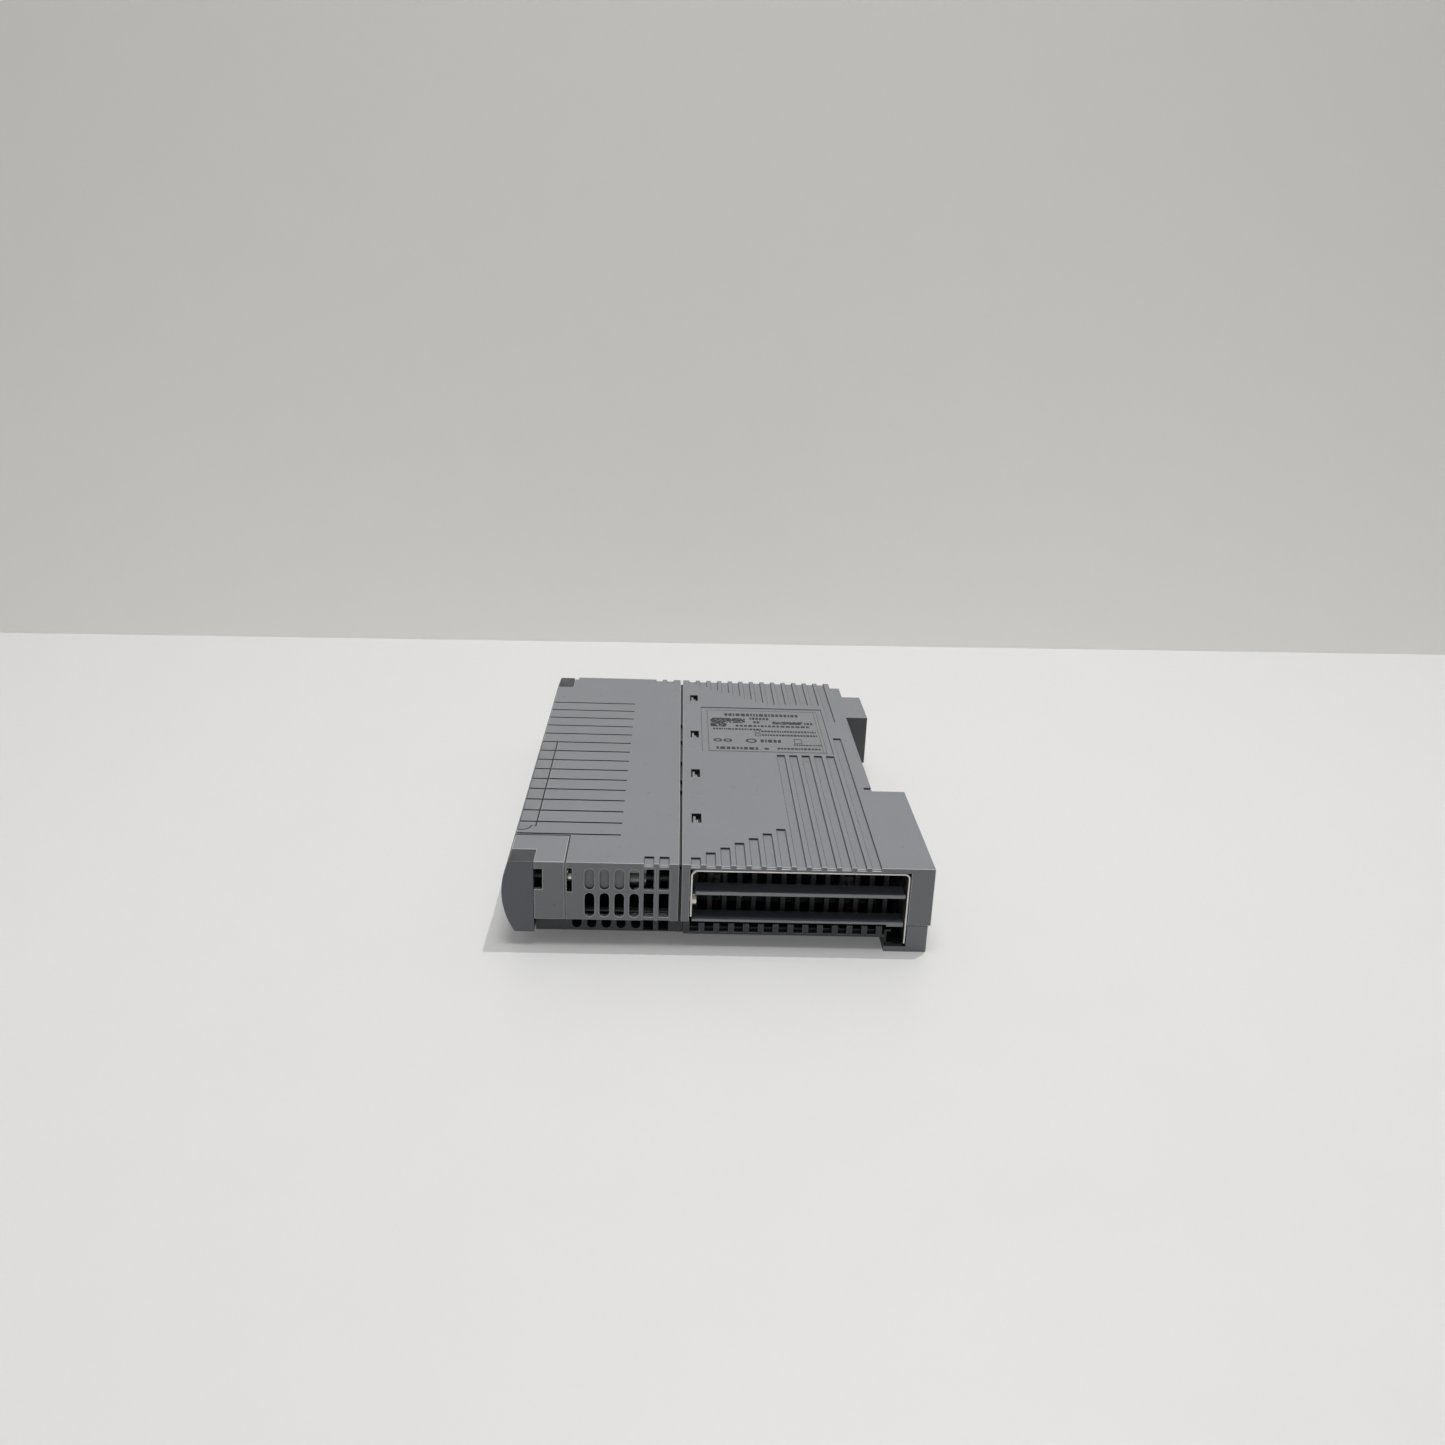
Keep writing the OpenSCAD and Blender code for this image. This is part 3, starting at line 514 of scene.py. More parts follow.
@dataclass(frozen=True)
class Curve:
    """A box, in millimetres from the datum, whose sharp edges get a radius of their own."""

    low: Point
    high: Point
    radius: float
    shortest: float = 0.0
    segments: int = 3

    def holds(self, start: Vector, end: Vector) -> bool:
        """Tells whether an edge is inside the box.

        Args:
            start: the edge's one end.
            end: its other end.

        Returns:
            True when both ends are inside and the edge is long enough.
        """
        inside = all(a <= v <= b for point in (start, end) for a, v, b in zip(self.low, point, self.high))
        return inside and (end - start).length >= self.shortest


@dataclass
class Workshop:
    """Turns shapes and CAD nodes into finished pieces."""

    datum: Datum = field(default_factory=Datum.find)
    paints: dict[str, bpy.types.Material] = field(default_factory=dict)
    smooth_below: float = 21.0
    flat_below: float = 0.5
    sharp_above: float = 31.0
    square_above: float = 60.0

    def paint(self, name: str) -> bpy.types.Material:
        """Gives a finish's material, made the first time that it is asked for.

        Args:
            name: the finish's name.

        Returns:
            The material.
        """
        if name not in self.paints:
            self.paints[name] = FINISHES[name].make(name)
        return self.paints[name]

    def _object(self, bm: bmesh.types.BMesh, name: str, finish: str, body: str) -> bpy.types.Object:
        """Makes an object of a mesh in the frame's metres.

        Args:
            bm: the mesh, which is freed.
            name: the piece's name.
            finish: the finish that it wears.
            body: the body that it rides on.

        Returns:
            The object.
        """
        for face in bm.faces:
            face.smooth = True
        limit = math.radians(self.smooth_below)
        for edge in bm.edges:
            edge.smooth = edge.calc_face_angle(math.pi) < limit
        piece = to_object(bm, name, self.paint(finish))
        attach(piece, body)
        LOG.info("%s: %d faces, %s, on %s", name, len(piece.data.polygons), finish, body)
        return piece

    def add(self, shape: Shape, name: str, finish: str, slot: str, body: str = HOUSING,
            stands_for: Sequence[str] = ()) -> bpy.types.Object:
        """Finishes a new piece.

        Args:
            shape: its shape.
            name: its name.
            finish: the finish that it wears.
            slot: the record's material slot that it belongs to; not used.
            body: the body that it rides on.
            stands_for: the CAD nodes that it replaces.

        Returns:
            The piece.
        """
        bmesh.ops.transform(shape.bm, matrix=self.datum.matrix(), verts=shape.bm.verts)
        piece = self._object(shape.bm, name, finish, body)
        if stands_for:
            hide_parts(*stands_for)
        return piece

    def soften(self, node: str, slot: str, edge: float = 0.15, body: str = HOUSING,
               finish: str | None = None, patches: Sequence[Patch] = (),
               curves: Sequence[Curve] = ()) -> bpy.types.Object:
        """Replaces a CAD node with a copy whose outer edges are rounded and marked for wear.

        Args:
            node: the CAD node.
            slot: its material slot.
            edge: the width of the rounding, in mm.
            body: the body that it rides on.
            finish: its finish, the slot's own when None.
            patches: regions of it that wear other finishes, the first that fits wins.
            curves: regions whose edges are rounded first, with their own radius.

        Returns:
            The copy.
        """
        bm = bmesh.new()
        bm.from_mesh(frame["nodes"][node].data)
        bmesh.ops.remove_doubles(bm, verts=bm.verts, dist=1e-6)
        bmesh.ops.dissolve_limit(bm, angle_limit=math.radians(self.flat_below), verts=bm.verts,
                                 use_dissolve_boundaries=False, edges=bm.edges)
        back = self.datum.matrix().inverted()
        rounded = bm.faces.layers.int.new("rounded")
        for curve in curves:
            bent = [e for e in bm.edges
                    if e.is_manifold and e.calc_face_angle(0) > math.radians(self.square_above)
                    and curve.holds(back @ e.verts[0].co, back @ e.verts[1].co)]
            for face in round_edges(bm, bent, curve.radius * MM, curve.segments):
                face[rounded] = 1
        lines = [e for e in bm.edges if e.is_manifold and e.is_convex
                 and e.calc_face_angle(0) > math.radians(self.sharp_above)]
        for face in round_edges(bm, lines, edge * MM):
            face[rounded] = 1
        wear = bm.verts.layers.float.new("wear")
        for vert in bm.verts:
            vert[wear] = 1.0 if vert.link_faces and all(f[rounded] for f in vert.link_faces) else 0.0
        for face in bm.faces:
            middle = back @ face.calc_center_median()
            found = (n for n, patch in enumerate(patches, 1)
                     if patch.holds(middle, face.normal, bool(face[rounded])))
            face.material_index = next(found, 0)
        bm.faces.layers.int.remove(rounded)
        piece = self._object(bm, f"{node}_finished", finish or slot, body)
        for patch in patches:
            piece.data.materials.append(self.paint(patch.finish))
        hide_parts(node)
        return piece


@dataclass(frozen=True)
class TopDetail:
    """How far the details of the top face go below it or stand in from its edges."""

    rim: float = 0.13
    flute: float = 0.68
    groove: float = 0.55
    window: float = 2.1
    front_crease: float = 0.2
    rear_crease: float = 0.4
    crease_inset: float = 0.3
    above: float = 0.1


@dataclass
class LabelPrint:
    """The generic print on the rating label: places are shares of its width and height."""

    low: Vector
    high: Vector
    ink: Shape = field(default_factory=Shape)
    half_thick: float = 0.05
    inset: float = 0.3
    line: float = 0.15
    fold: float = 1.5
    dash_steps: Sizes = (0.6, 1.0, 1.0, 1.4)
    dash_gap: float = 0.42
    dash_taller: float = 1.2
    cell: Span = (0.7, 0.85)
    cells_filled: float = 0.85
    outline: Span = (0.25, 0.35)
    ring_wide: float = 0.9
    seed: int = 4

    def build(self) -> Shape:
        """Prints everything.

        Returns:
            The ink's shape.
        """
        random.seed(self.seed)
        self.frame()
        self.rows()
        self.blocks()
        self.outlines()
        self.rings()
        return self.ink

    def at(self, x: float, y: float) -> Span:
        """Gives a point from its shares of the label's width and height."""
        return self.low.x + x * (self.high.x - self.low.x), self.low.y + y * (self.high.y - self.low.y)

    def bar(self, x0: float, x1: float, y0: float, y1: float) -> None:
        """Prints one bar between two corners."""
        self.ink.box((x0, y0, self.high.z - self.half_thick), (x1, y1, self.high.z + self.half_thick))

    def frame(self) -> None:
        """Prints the lines along the label's edges."""
        left, right = self.low.x + self.inset, self.high.x - self.inset
        near, far = self.low.y + self.inset, self.high.y - self.inset
        for x in (left, right - self.line, right - self.fold):
            self.bar(x, x + self.line, near, far)
        self.bar(left, right, far - self.line, far)

    def rows(self) -> None:
        """Prints rows of uneven dashes: start, end and height of each, its dashes' height and width."""
        for start, end, up, tall, wide in (
            (0.16, 0.82, 0.885, 2.7, 1.3), (0.38, 0.57, 0.79, 2.3, 1.1), (0.41, 0.47, 0.70, 2.2, 1.1),
            (0.86, 0.935, 0.69, 2.2, 1.1), (0.25, 0.92, 0.605, 1.7, 1.3), (0.05, 0.47, 0.52, 1.5, 0.9),
            (0.47, 0.96, 0.478, 1.6, 0.9), (0.47, 0.96, 0.388, 1.6, 0.9), (0.45, 0.64, 0.245, 2.7, 1.3),
            (0.73, 0.965, 0.165, 1.1, 0.7), (0.07, 0.42, 0.065, 2.2, 1.5), (0.58, 0.965, 0.075, 1.5, 0.9),
        ):
            (x, y), (x1, _) = self.at(start, up), self.at(end, up)
            half = tall * self.dash_taller / 2
            while x < x1 - wide * self.dash_steps[0]:
                step = wide * random.choice(self.dash_steps)
                self.bar(x, min(x1, x + step), y - half, y + half)
                x += step + wide * self.dash_gap

    def blocks(self) -> None:
        """Prints the blocks of random cells, each between its left, right, near and far side."""
        wide, tall = self.high.x - self.low.x, self.high.y - self.low.y
        across, up = self.cell
        for left, right, near, far in ((0.03, 0.335, 0.675, 0.80), (0.03, 0.165, 0.575, 0.67),
                                       (0.58, 0.845, 0.66, 0.735)):
            x, y = self.at(left, near)
            rows, columns = round((far - near) * tall / up), round((right - left) * wide / across)
            for row, column in itertools.product(range(rows), range(columns)):
                x0, y0 = x + column * across, y + row * up
                if random.random() < self.cells_filled:
                    self.bar(x0, x0 + across, y0, y0 + up)

    def outlines(self) -> None:
        """Prints the empty frames, each with its corner, width and height."""
        side, end = self.outline
        for x, y, wide, tall in ((0.41, 0.445, 2.4, 3.1), (0.41, 0.36, 2.4, 3.1), (0.735, 0.2, 3.4, 5.0)):
            x0, y0 = self.at(x, y)
            for corners in ((x0, x0 + wide, y0, y0 + end), (x0, x0 + wide, y0 + tall - end, y0 + tall),
                            (x0, x0 + side, y0, y0 + tall), (x0 + wide - side, x0 + wide, y0, y0 + tall)):
                self.bar(*corners)

    def rings(self) -> None:
        """Prints the rings, each with its middle and radius."""
        thick = 2 * self.half_thick
        for x, y, radius in ((0.085, 0.245, 1.9), (0.17, 0.245, 1.9), (0.37, 0.245, 2.4),
                             (0.49, 0.065, 1.1)):
            inner = radius - self.ring_wide
            self.ink.ring((*self.at(x, y), self.high.z - self.half_thick),
                          ((inner, 0), (radius, 0), (radius, thick), (inner, thick), (inner, 0)),
                          sides=24)


@dataclass
class Casing:
    """The case's upper and lower mouldings, its label and what holds them together."""

    shop: Workshop
    detail: TopDetail = TopDetail()
    shell_edge: float = 0.16
    lower_edge: float = 0.15
    around: float = 1.0
    far_around: float = 9.0
    window_from: float = 20.0
    window_to: float = 67.0
    flute_inset: float = 3.0
    groove_span: Span = (-3.0, 38.0)
    front_crease_from: float = 7.6
    seam_wide: float = 1.4
    vent_span: Span = (20.0, 56.0)
    vent_skin: Span = (0.14, 1.06)
    vent_foot: float = 10.0
    vent_top: float = 2.3
    sill_to: float = 43.0
    sill_below: float = 12.0
    vent_rim: float = 0.25
    rim_lap: float = 0.4
    rim_top: float = 2.0
    foot_from: float = 125.0
    foot_to: float = 9.5
    heel: float = 12.0
    lip_tall: float = 2.05
    hook_from: float = 151.6
    hook_before: float = 8.0
    hook_wide: float = 1.5
    hook_below: float = 0.5
    snap_places: Sizes = (138.0, 118.0, 94.0, 74.5, 64.2)
    snap_length: float = 2.0
    snap_span: Span = (0.5, 0.15)
    gasket_depth: float = 1.8
    gasket_gap: float = 0.03
    gasket_wide: float = 1.2
    gasket_lap: float = 0.85
    gasket_edge: float = 0.1
    gasket_levels: Sizes = (5.2, 9.8, 9.9)
    strip_from: float = 41.3
    strip_to: float = 2.2
    strip_span: Span = (2.4, 3.4)
    strip_levels: Span = (0.8, 1.5)
    mark_inset: Sizes = (14.0, 18.0, 28.0)
    mark_radii: Span = (2.2, 2.5)
    mark_levels: Span = (0.02, 0.2)

    def build(self) -> None:
        """Builds every piece of the casing."""
        self.mouldings()
        self.label()
        self.seam_snaps()
        self.earth_strips()
        self.moulding_marks()

    def mouldings(self) -> None:
        """Rounds the edges of the mouldings and sets off their recesses, rims and feet, with painted
        highlights on the upper rounded edges and painted shade on the lower ones and in the recesses.
        """
        _, high = self.shop.datum.box("rear_upper_shell")
        low, back = self.shop.datum.box("rear_lower_shell")
        out, a = self.far_around, self.around
        wide, far, top = high.x + out, high.y + out, high.z
        rear, front = self._recesses(high)
        # The upper mouldings' rounded edges wear a painted highlight, the lower ones' painted shade.
        edges = Patch((-out, -out, 0), (wide, far, top + a), "painted_edge_highlight", rounded=True)
        dim = Patch((-out, -out, -out), (wide, far, top), "edge_shadow", rounded=True)
        feet = [Patch((x, low.y - a, low.z - a), (back.x + a, self.foot_to, z), "case_grey") for x, z in (
            (self.foot_from + self.heel, back.z + a), (self.foot_from, low.z + self.lip_tall))]
        rims = [Curve((self.vent_span[0], y - 0.05, self.vent_foot + 0.5),
                      (self.vent_span[1] + a, y + 0.05, top - 1.3), self.vent_rim) for y in (0.0, high.y)]
        softened = self.shop.soften
        softened("rear_upper_shell", "case_grey", self.shell_edge, patches=(*rear, edges))
        softened("front_upper_shell", "case_grey", self.shell_edge, curves=rims, patches=(*front, edges))
        softened("end_cover", "case_grey", 0.2, patches=(edges,))
        softened("rear_lower_shell", "case_shadow_grey", self.lower_edge, patches=(*feet, dim))
        softened("front_lower_shell", "case_shadow_grey", self.lower_edge, patches=(dim,))
        softened("shell_hooks", "case_grey", self.lower_edge, patches=(edges,))
        softened("lock_spring", "steel", 0.1, finish="chip_black")
        softened("rating_label", "label_grey", 0.05)

    def _recesses(self, high: Vector) -> tuple[list[Patch], list[Patch]]:
        """Gives the painted shade on the walls, in the recesses and along the creases of the upper
        mouldings.

        Args:
            high: the rear moulding's highest corner.

        Returns:
            The rear moulding's patches and the front one's.
        """
        _, front = self.shop.datum.box("front_upper_shell")
        detail, inset, end = self.detail, self.detail.crease_inset, self.flute_inset
        wide, far, top = high
        rim, floor, above = top - detail.rim, top - detail.flute, top + detail.above
        hook, half = self.hook_from, self.hook_wide
        # Near-black painted shade on the flute walls; the hook windows, grooves and creases below get it
        # too.
        flutes = Patch((0, -1, floor), (wide, far + 1, rim), "painted_recess_shade", side_faces=True)
        rear = [
            Patch((self.foot_from - self.hook_before, hook - half, 0),
                  (wide, hook + half, top - self.hook_below), "shade_grey", (0, -1, 0)),
            Patch((0, end, floor), (wide, far - end, rim), "edge_shadow", (0, -1, 0)),
            Patch((0, end, floor), (wide, far - end, rim), "edge_shadow", (0, 1, 0)),
            flutes,
            Patch((0, self.window_from, top - detail.window), (self.window_to, far, rim), "painted_recess_shade",
                  side_faces=True),
            Patch((front.x + self.seam_wide, inset, top - detail.rear_crease),
                  (wide - inset, far - inset, above), "painted_recess_shade", rounded=True),
        ]
        (x0, x1), y = self.groove_span, self.window_from
        grooves = Patch((x0, y, top - detail.groove), (x1, far - y, rim), "painted_recess_shade")
        creases = Patch((self.front_crease_from, inset, top - detail.front_crease),
                        (front.x - inset, far - inset, above), "painted_recess_shade", rounded=True)
        return rear, [grooves, *self._vents(high), flutes, creases]

    def _vents(self, high: Vector) -> list[Patch]:
        """Gives the painted shade on the vents' walls and sills and the painted highlight on their rims, at
        both ends.

        Args:
            high: the rear moulding's highest corner.

        Returns:
            The patches.
        """
        (x0, x1), (skin, depth), foot = self.vent_span, self.vent_skin, self.vent_foot
        top, far, lap = high.z - self.vent_top, high.y, self.rim_lap
        sill, rim = high.z - self.sill_below, high.z - self.rim_top
        spans = ((skin, depth), (far - depth, far - skin))
        return [
            *(Patch((x0, y0, foot), (x1, y1, top), "painted_recess_shade", facing)
              for y0, y1 in spans for facing in ((1, 0, 0), (-1, 0, 0), (0, 0, -1))),
            *(Patch((x0, y0, sill), (self.sill_to, y1, top), "painted_recess_shade", (0, 0, 1)) for y0, y1 in spans),
            *(Patch((x0, y - lap, foot), (x1 + 1, y + lap, rim), "painted_rim_highlight", rounded=True)
              for y in (0.0, far)),
        ]

    def label(self) -> None:
        """Prints the label."""
        ink = LabelPrint(*self.shop.datum.box("rating_label")).build()
        self.shop.add(ink, "label_print", "print_ink", "label_grey")

    def seam_snaps(self) -> None:
        """Builds the dark gasket in the seam between the two halves, and the snap tongues over it."""
        front_low, front = self.shop.datum.box("front_upper_shell")
        rear, _ = self.shop.datum.box("rear_upper_shell")
        left, right, top = front.x + self.gasket_gap, rear.x - self.gasket_gap, front.z - self.gasket_depth
        wide, edge = self.gasket_wide, self.gasket_edge
        foot, step, shoulder = self.gasket_levels
        snaps = Shape()
        near, far = front_low.y + self.gasket_depth, front.y - self.gasket_depth
        snaps.box((left, near, top - wide), (right, far, top), edge)
        for y in (near, far - wide):
            snaps.box((left, y, step), (right, y + wide, top), edge)
            snaps.box((left, y, foot), (rear.x + self.gasket_lap, y + wide, shoulder), edge)
        low, high = top - self.snap_span[0], front.z - self.snap_span[1]
        for y in self.snap_places:
            snaps.box((left, y, low), (right, y + self.snap_length, high), edge)
        self.shop.add(snaps, "seam_gasket", "grille_black", "grille_black")

    def earth_strips(self) -> None:
        """Builds the plated strip behind the vents, under the board's edge, at both ends."""
        low, high = self.shop.datum.box("front_upper_shell")
        (near, far), (foot, top) = self.strip_span, self.strip_levels
        strips = Shape()
        for y0, y1 in ((low.y + near, low.y + far), (high.y - far, high.y - near)):
            strips.box((self.strip_from, y0, low.z + foot), (high.x - self.strip_to, y1, low.z + top), 0.15)
        self.shop.add(strips, "earth_strips", "nickel", "plated_screw")

    def moulding_marks(self) -> None:
        """Builds the round ejector marks inside the rim of the underside."""
        low, high = self.shop.datum.box("rear_lower_shell")
        (front, back, end), (inner, outer), (z0, z1) = self.mark_inset, self.mark_radii, self.mark_levels
        marks = Shape()
        for x in (low.x + front, (low.x + high.x) / 2, high.x - back):
            for y in (low.y + end, (low.y + high.y) / 2, high.y - end):
                marks.ring((x, y, low.z), ((inner, z0), (outer, z0), (outer, z1), (inner, z1), (inner, z0)),
                           sides=28)
        self.shop.add(marks, "ejector_marks", "case_shadow_grey", "case_shadow_grey")


@dataclass
class FrontPanel:
    """The crowned front: bezel, hinged door, controls, lamps and the two clamp screws."""

    shop: Workshop
    detail: TopDetail = TopDetail()
    edge: float = 0.25
    skin: float = 0.05
    ring_at: float = 19.9
    ring_radii: Sizes = (1.51, 2.1, 2.25)
    ring_levels: Sizes = (0.15, 1.65, 1.8)

    def build(self) -> None:
        """Builds every piece of the front panel."""
        low, high = self.shop.datum.box("front_bezel")
        detail, top = self.detail, high.z
        # The bezel's upward faces wear a darker tone than its near faces, as painted light and shade on one
        # plastic.
        tops = Patch((low.x, low.y, top - self.skin), (high.x, high.y, top + detail.above), "bezel_top",
                     (0, 0, 1))
        self.shop.soften("front_bezel", "bezel_dark", self.edge, patches=(tops,))
        # The door's groove walls and the rounded rims of its creases get painted shade.
        grooves = Patch((low.x, low.y, top - detail.groove), (high.x, high.y, top - detail.rim),
                        "painted_recess_shade", side_faces=True)
        creases = Patch((low.x, low.y, top - detail.front_crease),
                        (high.x - detail.crease_inset, high.y, top + detail.above), "painted_recess_shade",
                        rounded=True)
        self.shop.soften("front_door", "case_grey", 0.12, "door", patches=(grooves, creases))
        self.shop.soften("door_hinge_pin", "steel", 0.1)
        self.shop.soften("led_window", "window_clear", 0.08)
        self.shop.soften("status_leds", "led_lens", 0.12)
        self.shop.soften("start_button", "button_cream", 0.25, "start_button")
        self.shop.soften("switch_knob", "button_cream", 0.2, "mode_switch")
        self.shop.soften("slide_switch", "chip_black", 0.15)
        self.shop.soften("button_switch", "chip_black", 0.15)
        self.shop.soften("screw_guides", "connector_cream", 0.2, finish="oxide_steel")
        self.screws()

    def screws(self) -> None:
        """Dresses the clamp screws and puts the nickel retaining ring on each shank."""
        (bore, face, outer), (foot, rim, top) = self.ring_radii, self.ring_levels
        profile = ((bore, 0), (face, 0), (outer, foot), (outer, rim), (face, top), (bore, top), (bore, 0))
        for name, body in (("clamp_screw_near", "near_screw"), ("clamp_screw_far", "far_screw")):
            low, high = self.shop.datum.box(name)
            middle = (low + high) / 2
            self.shop.soften(name, "plated_screw", 0.15, body, finish="black_steel")
            ring = Shape().ring((self.ring_at, middle.y, middle.z), profile, Axis.X, 40)
            self.shop.add(ring, f"{name}_ring", "nickel", "plated_screw", body)


@dataclass
class AirDuct:
    """The sheet-metal duct through the rear half, with its louvres, grilles and screw."""

    shop: Workshop
    sheet: float = 0.6
    bend: float = 2.0
    shortest_bend: float = 5.0
    near: float = 0.05
    painted_top_shade: float = 0.1
    lip_span: Span = (-1.0, 3.0)

    def build(self) -> None:
        """Builds every piece of the duct."""
        low, high = self.shop.datum.box("air_channel")
        t, near = self.sheet, self.near
        bends = [Curve((x - near, low.y - 1, z - near), (x + near, high.y + 1, z + near), radius,
                       self.shortest_bend, segments=6)
                 for x, z, radius in ((low.x, high.z, self.bend), (high.x, high.z, self.bend),
                                      (low.x + t, high.z - t, self.bend - t),
                                      (high.x - t, high.z - t, self.bend - t))]
        # The channel's top face is painted black as painted shade, for the dark seen through the hook
        # windows.
        painted_top_shade = Patch((low.x, low.y, high.z - self.painted_top_shade), (high.x, high.y, high.z + self.painted_top_shade),
                     "grille_black", (0, 0, 1))
        self.shop.soften("air_channel", "sheet_metal", 0.12, curves=bends, patches=(painted_top_shade,))
        self.shop.soften("channel_screw", "plated_screw", 0.15)
        # The louvres' near faces wear a lighter grey than their tops: painted light and shade on one
        # plastic.
        lip = Patch((low.x, self.lip_span[0], 0), (high.x, self.lip_span[1], high.z), "louvre_edge",
                    (0, -1, 0))
        self.shop.soften("upper_louvre", "louvre_plastic", 0.3, patches=(lip,))
        self.shop.soften("lower_louvre", "louvre_plastic", 0.25, patches=(lip,))
        self.shop.soften("near_grille", "grille_black", 0.15)
        self.shop.soften("far_grille", "grille_black", 0.15)


@dataclass
class Board:
    """The circuit board and everything soldered or screwed to it."""

    shop: Workshop
    chips: int = 4
    chip_width: float = 8.0
    lead_pitch: float = 1.27
    lead_width: float = 0.42
    lead_inset: Span = (1.2, 1.0)
    lead_bends: tuple[Sizes, ...] = (
        (0, 0.45, 0.55, 0.7), (0.35, 0.5, 0.05, 0.7), (0.35, 0.95, 0.02, 0.16))
    track_count: int = 90
    track_runs: int = 3
    track_run: Span = (3.0, 14.0)
    track_wide: float = 0.25
    track_levels: Span = (0.02, 0.03)
    track_inset: Sizes = (14.0, 18.0, 22.0, 26.0)
    resistor_count: int = 70
    resistor_size: Sizes = (2.0, 1.2, 0.6)
    resistor_x: Span = (12.0, 54.0)
    resistor_inset: Span = (20.0, 24.0)
    cap_wide: float = 0.4
    cap_over: float = 0.05
    cans: int = 4
    seed: int = 11

    def build(self) -> None:
        """Builds every piece of the board."""
        self.nodes()
        self.chip_leads()
        self.tracks()
        self.small_parts()
        self.capacitors()

    def nodes(self) -> None:
        """Rounds and paints the board's CAD nodes."""
        for node, slot, edge in (
            ("main_board", "board_green", 0.08),
            ("board_standoffs", "brass", 0.15),
            ("board_screws", "steel", 0.15),
            ("processor_chip", "chip_black", 0.2),
            ("heat_sink", "heat_sink_aluminium", 0.15),
            ("memory_chips", "chip_black", 0.15),
            ("backplane_connector", "connector_cream", 0.2),
            ("network_socket_1", "socket_steel", 0.2),
            ("network_socket_2", "socket_steel", 0.2),
            ("battery_holder", "chip_black", 0.3),
            ("battery_pack", "battery_wrap", 0.6),
            ("backplane_contacts", "contact_gold", 0.08),
            ("socket_contacts", "contact_gold", 0.06),
        ):
            self.shop.soften(node, slot, edge)

    def chip_leads(self) -> None:
        """Builds the gull-wing leads along both sides of the memory chips."""
        leads = Shape()
        low, high = self.shop.datum.box("memory_chips")
        width = self.chip_width
        step = (high.x - low.x - width) / (self.chips - 1)
        for k in range(self.chips):
            x0 = low.x + k * step
            y = low.y + self.lead_inset[0]
            while y < high.y - self.lead_inset[1]:
                for x, side in ((x0, -1), (x0 + width, 1)):
                    for near, far, foot, top in self.lead_bends:
                        left, right = sorted((x + side * near, x + side * far))
                        leads.box((left, y, low.z + foot), (right, y + self.lead_width, low.z + top))
                y += self.lead_pitch
        self.shop.add(leads, "memory_leads", "solder", "steel")

    def tracks(self) -> None:
        """Lays the copper tracks under the board's varnish as low ridges."""
        low, high = self.shop.datum.box("main_board")
        front, back, near, far = self.track_inset
        foot, top = high.z - self.track_levels[0], high.z + self.track_levels[1]
        random.seed(self.seed)
        ridges = Shape()
        for _ in range(self.track_count):
            x = random.uniform(low.x + front, high.x - back)
            y = random.uniform(low.y + near, high.y - far)
            for _ in range(self.track_runs):
                run = random.uniform(*self.track_run)
                if random.random() < 0.5:
                    ridges.box((x, y, foot), (x + run, y + self.track_wide, top))
                    x += run
                else:
                    ridges.box((x, y, foot), (x + self.track_wide, y + run, top))
                    y += run
                x, y = min(x, high.x - back), min(y, high.y - far)
        self.shop.add(ridges, "board_tracks", "board_green", "board_green")

    def small_parts(self) -> None:
        """Solders the small chips, resistors and their end caps on to the board."""
        low, high = self.shop.datum.box("main_board")
        random.seed(self.seed + 1)
        dark, caps = Shape(), Shape()
        long, short, tall = self.resistor_size
        near, far = self.resistor_inset
        over, cap = self.cap_over, self.cap_wide
        for _ in range(self.resistor_count):
            x, y = random.uniform(*self.resistor_x), random.uniform(low.y + near, high.y - far)
            along = random.random() < 0.5
            w, h = (long, short) if along else (short, long)
            dark.box((x, y, high.z), (x + w, y + h, high.z + tall), 0.08)
            for shift in (-over, long - cap + over):
                dx, dy = (shift, 0) if along else (0, shift)
                cw, ch = (cap, h) if along else (w, cap)
                caps.box((x + dx, y + dy, high.z + 0.01), (x + dx + cw, y + dy + ch, high.z + tall + over),
                         0.06)
        self.shop.add(dark, "board_resistors", "chip_black", "chip_black")
        self.shop.add(caps, "board_resistor_caps", "solder", "steel")

    def capacitors(self) -> None:
        """Spins the capacitors with their crimped waist, sleeve lip and scored top."""
        low, high = self.shop.datum.box("capacitors")
        r = (high.y - low.y) / 2
        tall = high.z - low.z
        step = (high.x - low.x - 2 * r) / (self.cans - 1)
        cans, tops = Shape(), Shape()
        for k in range(self.cans):
            x, y = low.x + r + k * step, low.y + r
            cans.ring((x, y, low.z), ((0, 0), (r - 0.3, 0), (r, 0.35), (r, 1.4), (r - 0.35, 1.9),
                                      (r, 2.4), (r, tall - 0.5), (r - 0.3, tall - 0.12),
                                      (r - 0.7, tall - 0.1), (r - 0.8, tall - 0.3), (0, tall - 0.3)))
            tops.rod((x, y, high.z - 0.29), 0.12, r - 0.85, sides=32)
            for a, b in ((0.12, r - 1.4), (r - 1.4, 0.12)):
                tops.box((x - a, y - b, high.z - 0.2), (x + a, y + b, high.z - 0.1))
        self.shop.add(cans, "capacitor_cans", "capacitor_sleeve", "capacitor_sleeve",
                      stands_for=("capacitors",))
        self.shop.add(tops, "capacitor_tops", "heat_sink_aluminium", "heat_sink_aluminium")


@dataclass(frozen=True)
class Lamp:
    """One studio light, aimed at the table's middle."""

    name: str
    place: Point
    wide: float
    power: float
    colour: Colour = (1.0, 0.99, 0.98)


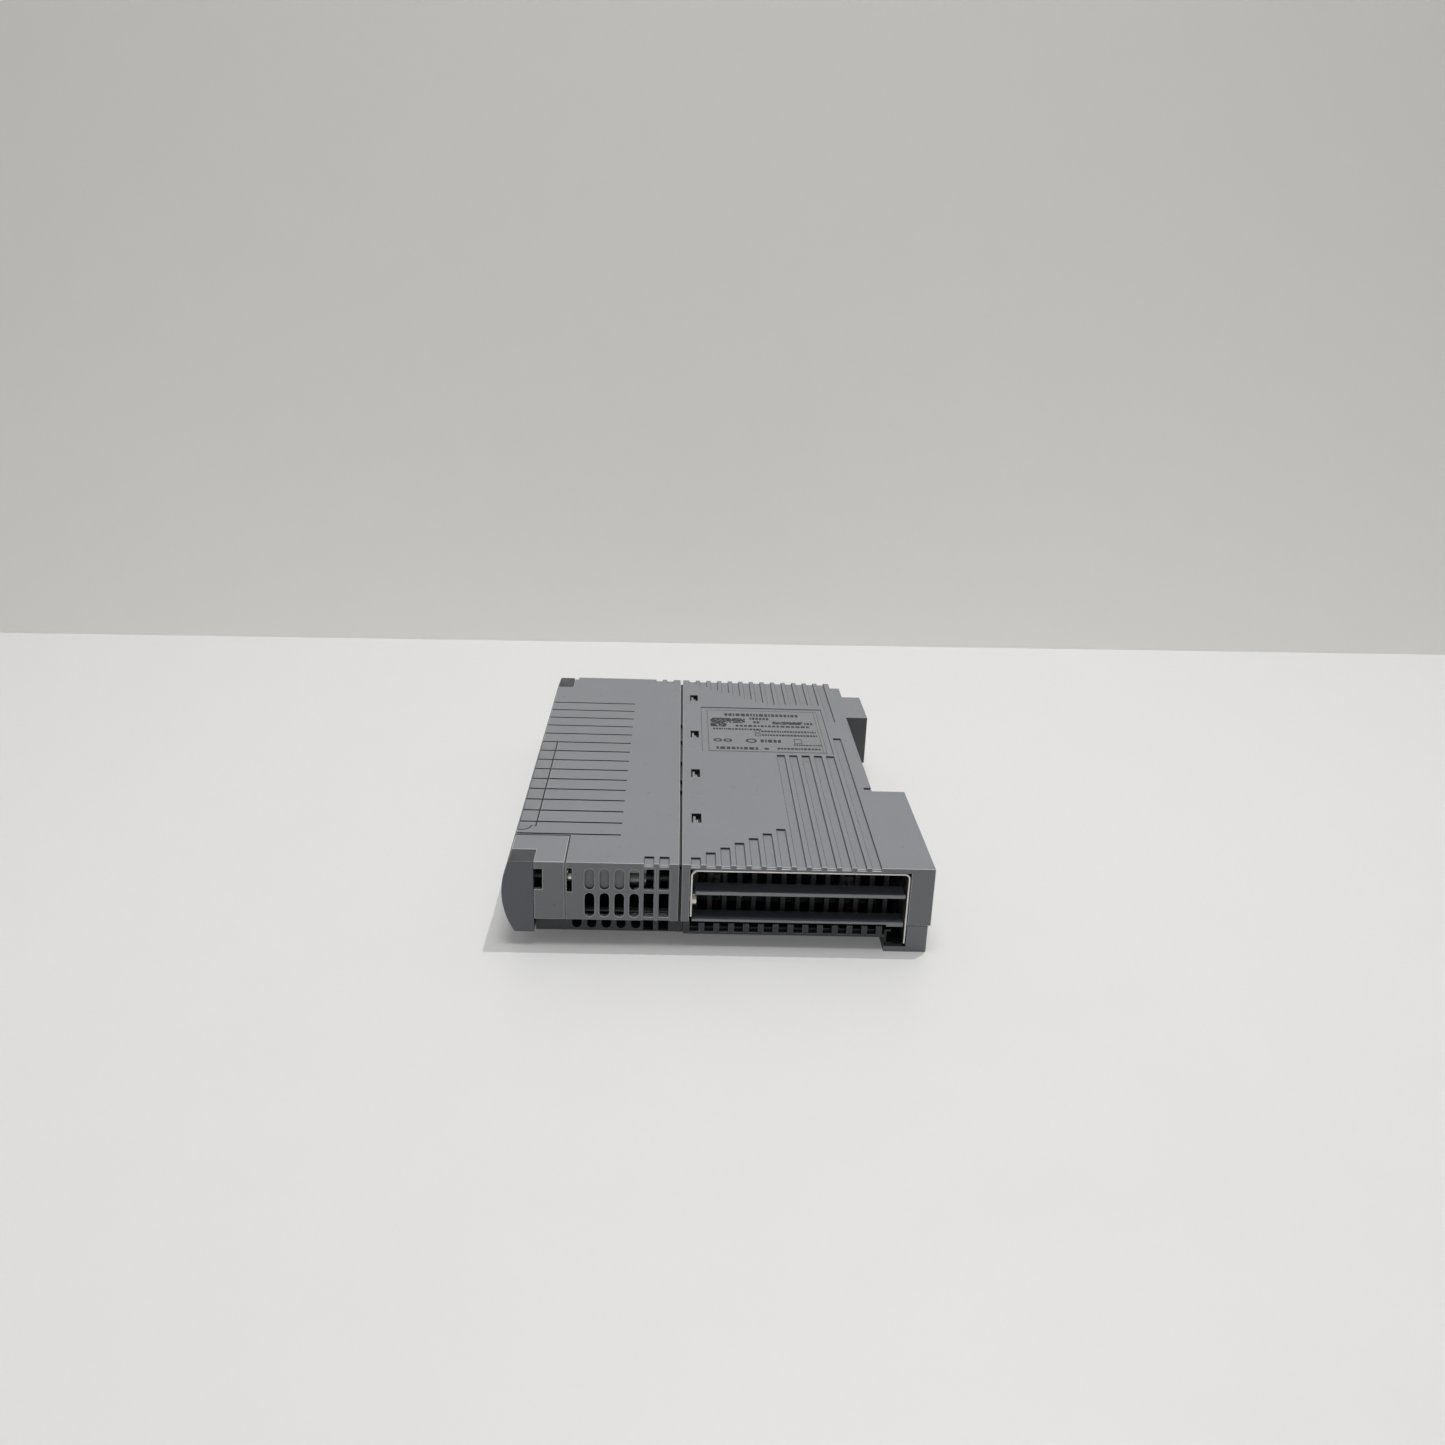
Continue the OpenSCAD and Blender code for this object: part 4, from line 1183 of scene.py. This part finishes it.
@dataclass
class Studio:
    """The pale table, the wall behind it, the lights and the camera."""

    wall_left: Span = (-0.417, 0.254)
    wall_right: Span = (0.481, 0.291)
    wall_height: float = 2.2
    reach: float = 2.5
    table_deep: float = 1.2
    # The table glows faintly: painted light that lifts the shade under the case.
    table: Finish = Finish((0.57, 0.57, 0.57), 0.006, (0.32, 0.4), bump=0.02, wear=0,
                           grain_size=0.002, glow=0.2)
    # The wall is painted darker towards the top, as painted shade.
    wall: Finish = Finish((0.97, 0.96, 0.93), 0.006, (0.6, 0.7), bump=0.02, wear=0,
                          grain_size=0.002, shade_upwards=0.28)
    lens: float = 31.968
    eye: Point = (-0.016948, -0.491413, 0.225922)
    yaw: float = -2.3415
    tilt: float = 70.014
    roll: float = 2.2119
    room_light: float = 0.22
    room_colour: Sizes = (0.98, 0.99, 1.0, 1.0)
    lamps: tuple[Lamp, ...] = (
        Lamp("key_light", (0.38, 0.18, 1.75), 0.03, 13.5),
        Lamp("wall_light", (0.0, -0.2, 1.3), 0.5, 7.0),
    )

    def build(self) -> None:
        """Sets the whole studio up."""
        self.surfaces()
        self.lights()
        self.camera()

    def surfaces(self) -> None:
        """Builds the table and the wall, each from its corners, anticlockwise on the side that shows."""
        a, b = Vector(self.wall_left), Vector(self.wall_right)
        along = (b - a).normalized() * self.reach
        front = Vector((along.y, -along.x)) * self.table_deep
        left, right, top = a - along, b + along, self.wall_height
        for name, finish, corners in (
            ("table", self.table, ((*(left + front), 0), (*(right + front), 0), (*right, 0), (*left, 0))),
            ("wall", self.wall, ((*left, 0), (*right, 0), (*right, top), (*left, top))),
        ):
            bm = bmesh.new()
            bm.faces.new([bm.verts.new(corner) for corner in corners])
            to_object(bm, name, finish.make(name))

    def lights(self) -> None:
        """Hangs the lamps and sets the room's even light."""
        for lamp in self.lamps:
            data = bpy.data.lights.new(lamp.name, "AREA")
            data.shape = "DISK"
            data.size = lamp.wide
            data.energy = lamp.power
            data.color = lamp.colour
            light = put(lamp.name, data)
            light.location = lamp.place
            light.rotation_euler = (-Vector(lamp.place)).to_track_quat("-Z", "Y").to_euler()
        world = bpy.data.worlds.new("room")
        world.use_nodes = True
        background = world.node_tree.nodes["Background"]
        background.inputs["Color"].default_value = self.room_colour
        background.inputs["Strength"].default_value = self.room_light
        bpy.context.scene.world = world
        bpy.context.scene.view_settings.view_transform = "Standard"

    def camera(self) -> None:
        """Sets the camera at the viewing angle that the looks are judged from."""
        data = bpy.data.cameras.new("view")
        data.lens = self.lens
        data.sensor_width = 36.0
        data.clip_start = 0.01
        camera = put("view", data)
        turn = (Matrix.Rotation(math.radians(self.yaw), 4, "Z")
                @ Matrix.Rotation(math.radians(self.tilt), 4, "X")
                @ Matrix.Rotation(math.radians(self.roll), 4, "Z"))
        camera.matrix_world = Matrix.Translation(self.eye) @ turn
        bpy.context.scene.camera = camera


def main() -> None:
    """Builds the module's sub-assemblies and the studio round them."""
    logging.basicConfig(level=logging.INFO, format="%(message)s")
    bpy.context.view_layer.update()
    shop = Workshop()
    for assembly in (Casing(shop), FrontPanel(shop), AirDuct(shop), Board(shop), Studio()):
        LOG.info("-- %s", type(assembly).__name__)
        assembly.build()


if __name__ == "__main__":
    main()
